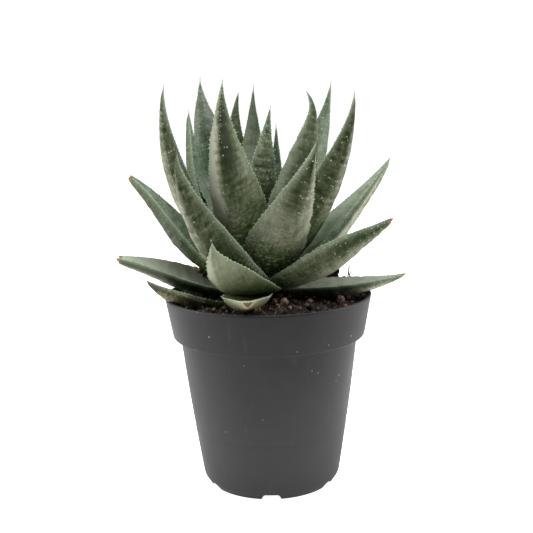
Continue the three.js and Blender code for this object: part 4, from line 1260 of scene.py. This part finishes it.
def make_fibres():
    random = np.random.default_rng(8)
    shape = Shape("tint")
    for _ in range(FIBRE_COUNT):
        radius, angle = FIBRE_REACH * math.sqrt(random.uniform(0.15, 1)), random.uniform(0, 2 * np.pi)
        x, y = radius * math.cos(angle), radius * math.sin(angle)
        heading, turn = random.uniform(0, 2 * np.pi), random.uniform(-0.25, 0.25)
        hump = random.uniform(0.2, 1.6)
        steps = int(random.integers(6, 13))
        path = []
        for k in range(steps):
            if math.hypot(x, y) > FIBRE_LIMIT:
                break
            lift = 0.15 + hump * math.sin(math.pi * k / (steps - 1))
            path.append((x, y, soil_height(x, y) + lift))
            heading += turn + random.uniform(-0.2, 0.2)
            x, y = x + FIBRE_STEP * math.cos(heading), y + FIBRE_STEP * math.sin(heading)
        if len(path) > 3:
            thick = random.uniform(0.1, 0.22)
            thread(shape, path, thick, (random.uniform(0.2, 0.9), random.uniform(0, 0.5), 0))
    for x, y, top_x, top_y, top, thick in TWIGS:
        t = np.linspace(0, 1, 9)[:, None]
        low = np.array([x, y, soil_height(x, y) - 0.5])
        high = np.array([top_x, top_y, POT_HEIGHT + top])
        bow = np.sin(np.pi * t) * (0.5, 0.3, 0.4) + np.sin(3 * np.pi * t) * (0.25, 0.1, 0.0)
        thread(shape, low + (high - low) * t + bow, thick, (0.25, 0.2, 0))
    piece = shape.piece("soil_fibres", soil_paint("peat_fibres", 1.0))


# Stem

def make_stem():
    foot, top = SOIL_LINE - STEM_DEPTH, SOIL_LINE + STEM_HEIGHT
    line = [(0, foot, 0), (STEM_FOOT_RADIUS - 1.5, foot, 0.6), (STEM_FOOT_RADIUS, foot + 3, 0.8)]
    for height in np.linspace(SOIL_LINE, top - 2, 60):
        scar = SCAR_DEPTH * (math.sin(2 * np.pi * height / SCAR_PITCH) - 1)
        line.append((stem_radius(height - SOIL_LINE) + scar, height, 0))
    line.append((0, top, 0))
    shape = turned(rounded(line), STEM_SIDES, STEM_X, STEM_Y)
    piece = shape.piece("fine_stem", stem_paint(), sharp=STEM_CREASE)
    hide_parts("stem")


# Studio: camera, light, floor

def make_camera():
    """Where the photograph was taken from: above the rim, pitched down and rolled slightly."""
    data = bpy.data.cameras.new("camera")
    data.sensor_width = SENSOR_WIDTH
    data.lens = FOCAL_PIXELS / PHOTO_PIXELS * SENSOR_WIDTH
    data.clip_start = 0.01
    camera = linked("camera", data)
    pitch = Matrix.Rotation(math.radians(90 - CAMERA_PITCH), 4, "X")
    roll = Matrix.Rotation(math.radians(-CAMERA_ROLL), 4, "Z")
    camera.matrix_world = Matrix.Translation(CAMERA_PLACE) @ pitch @ roll
    bpy.context.scene.camera = camera


def make_softbox(name, place, width, height, watts, colour):
    data = bpy.data.lights.new(name, "AREA")
    data.shape = "RECTANGLE"
    data.size, data.size_y = width, height
    data.energy = watts
    data.color = colour
    turn = (Vector(SOFTBOX_AIM) - Vector(place)).to_track_quat("-Z", "Y")
    linked(name, data).matrix_world = Matrix.Translation(place) @ turn.to_matrix().to_4x4()


def make_floor():
    mesh = bpy.data.meshes.new("floor")
    corners = [(FLOOR_REACH * x, FLOOR_REACH * y, 0) for x, y in ((-1, -1), (1, -1), (1, 1), (-1, 1))]
    mesh.from_pydata(corners, [], [(0, 1, 2, 3)])
    mesh.materials.append(floor_paint())
    floor = linked("floor", mesh)
    floor.location.z = -FLOOR_DROP


def make_world():
    """White all round: bright where the camera sees it, and dim as a light."""
    world = bpy.data.worlds.new("studio")
    bpy.context.scene.world = world
    world.use_nodes = True
    tree = world.node_tree
    backdrop = tree.nodes["Background"]
    backdrop.inputs["Color"].default_value = (1, 1, 1, 1)
    path = tree.nodes.new("ShaderNodeLightPath")
    share = tree.nodes.new("ShaderNodeMapRange")
    share.inputs["To Min"].default_value = WORLD_LIGHT
    share.inputs["To Max"].default_value = WORLD_SEEN
    tree.links.new(path.outputs["Is Camera Ray"], share.inputs["Value"])
    tree.links.new(share.outputs[0], backdrop.inputs["Strength"])
    bpy.context.scene.view_settings.view_transform = "Standard"


for index, look in enumerate(LEAVES):
    make_leaf(look, index + 1)
make_pot()
make_soil()
make_crumbs()
make_fibres()
make_stem()
make_camera()
for name, box in SOFTBOXES.items():
    make_softbox(name, *box)
make_floor()
make_world()
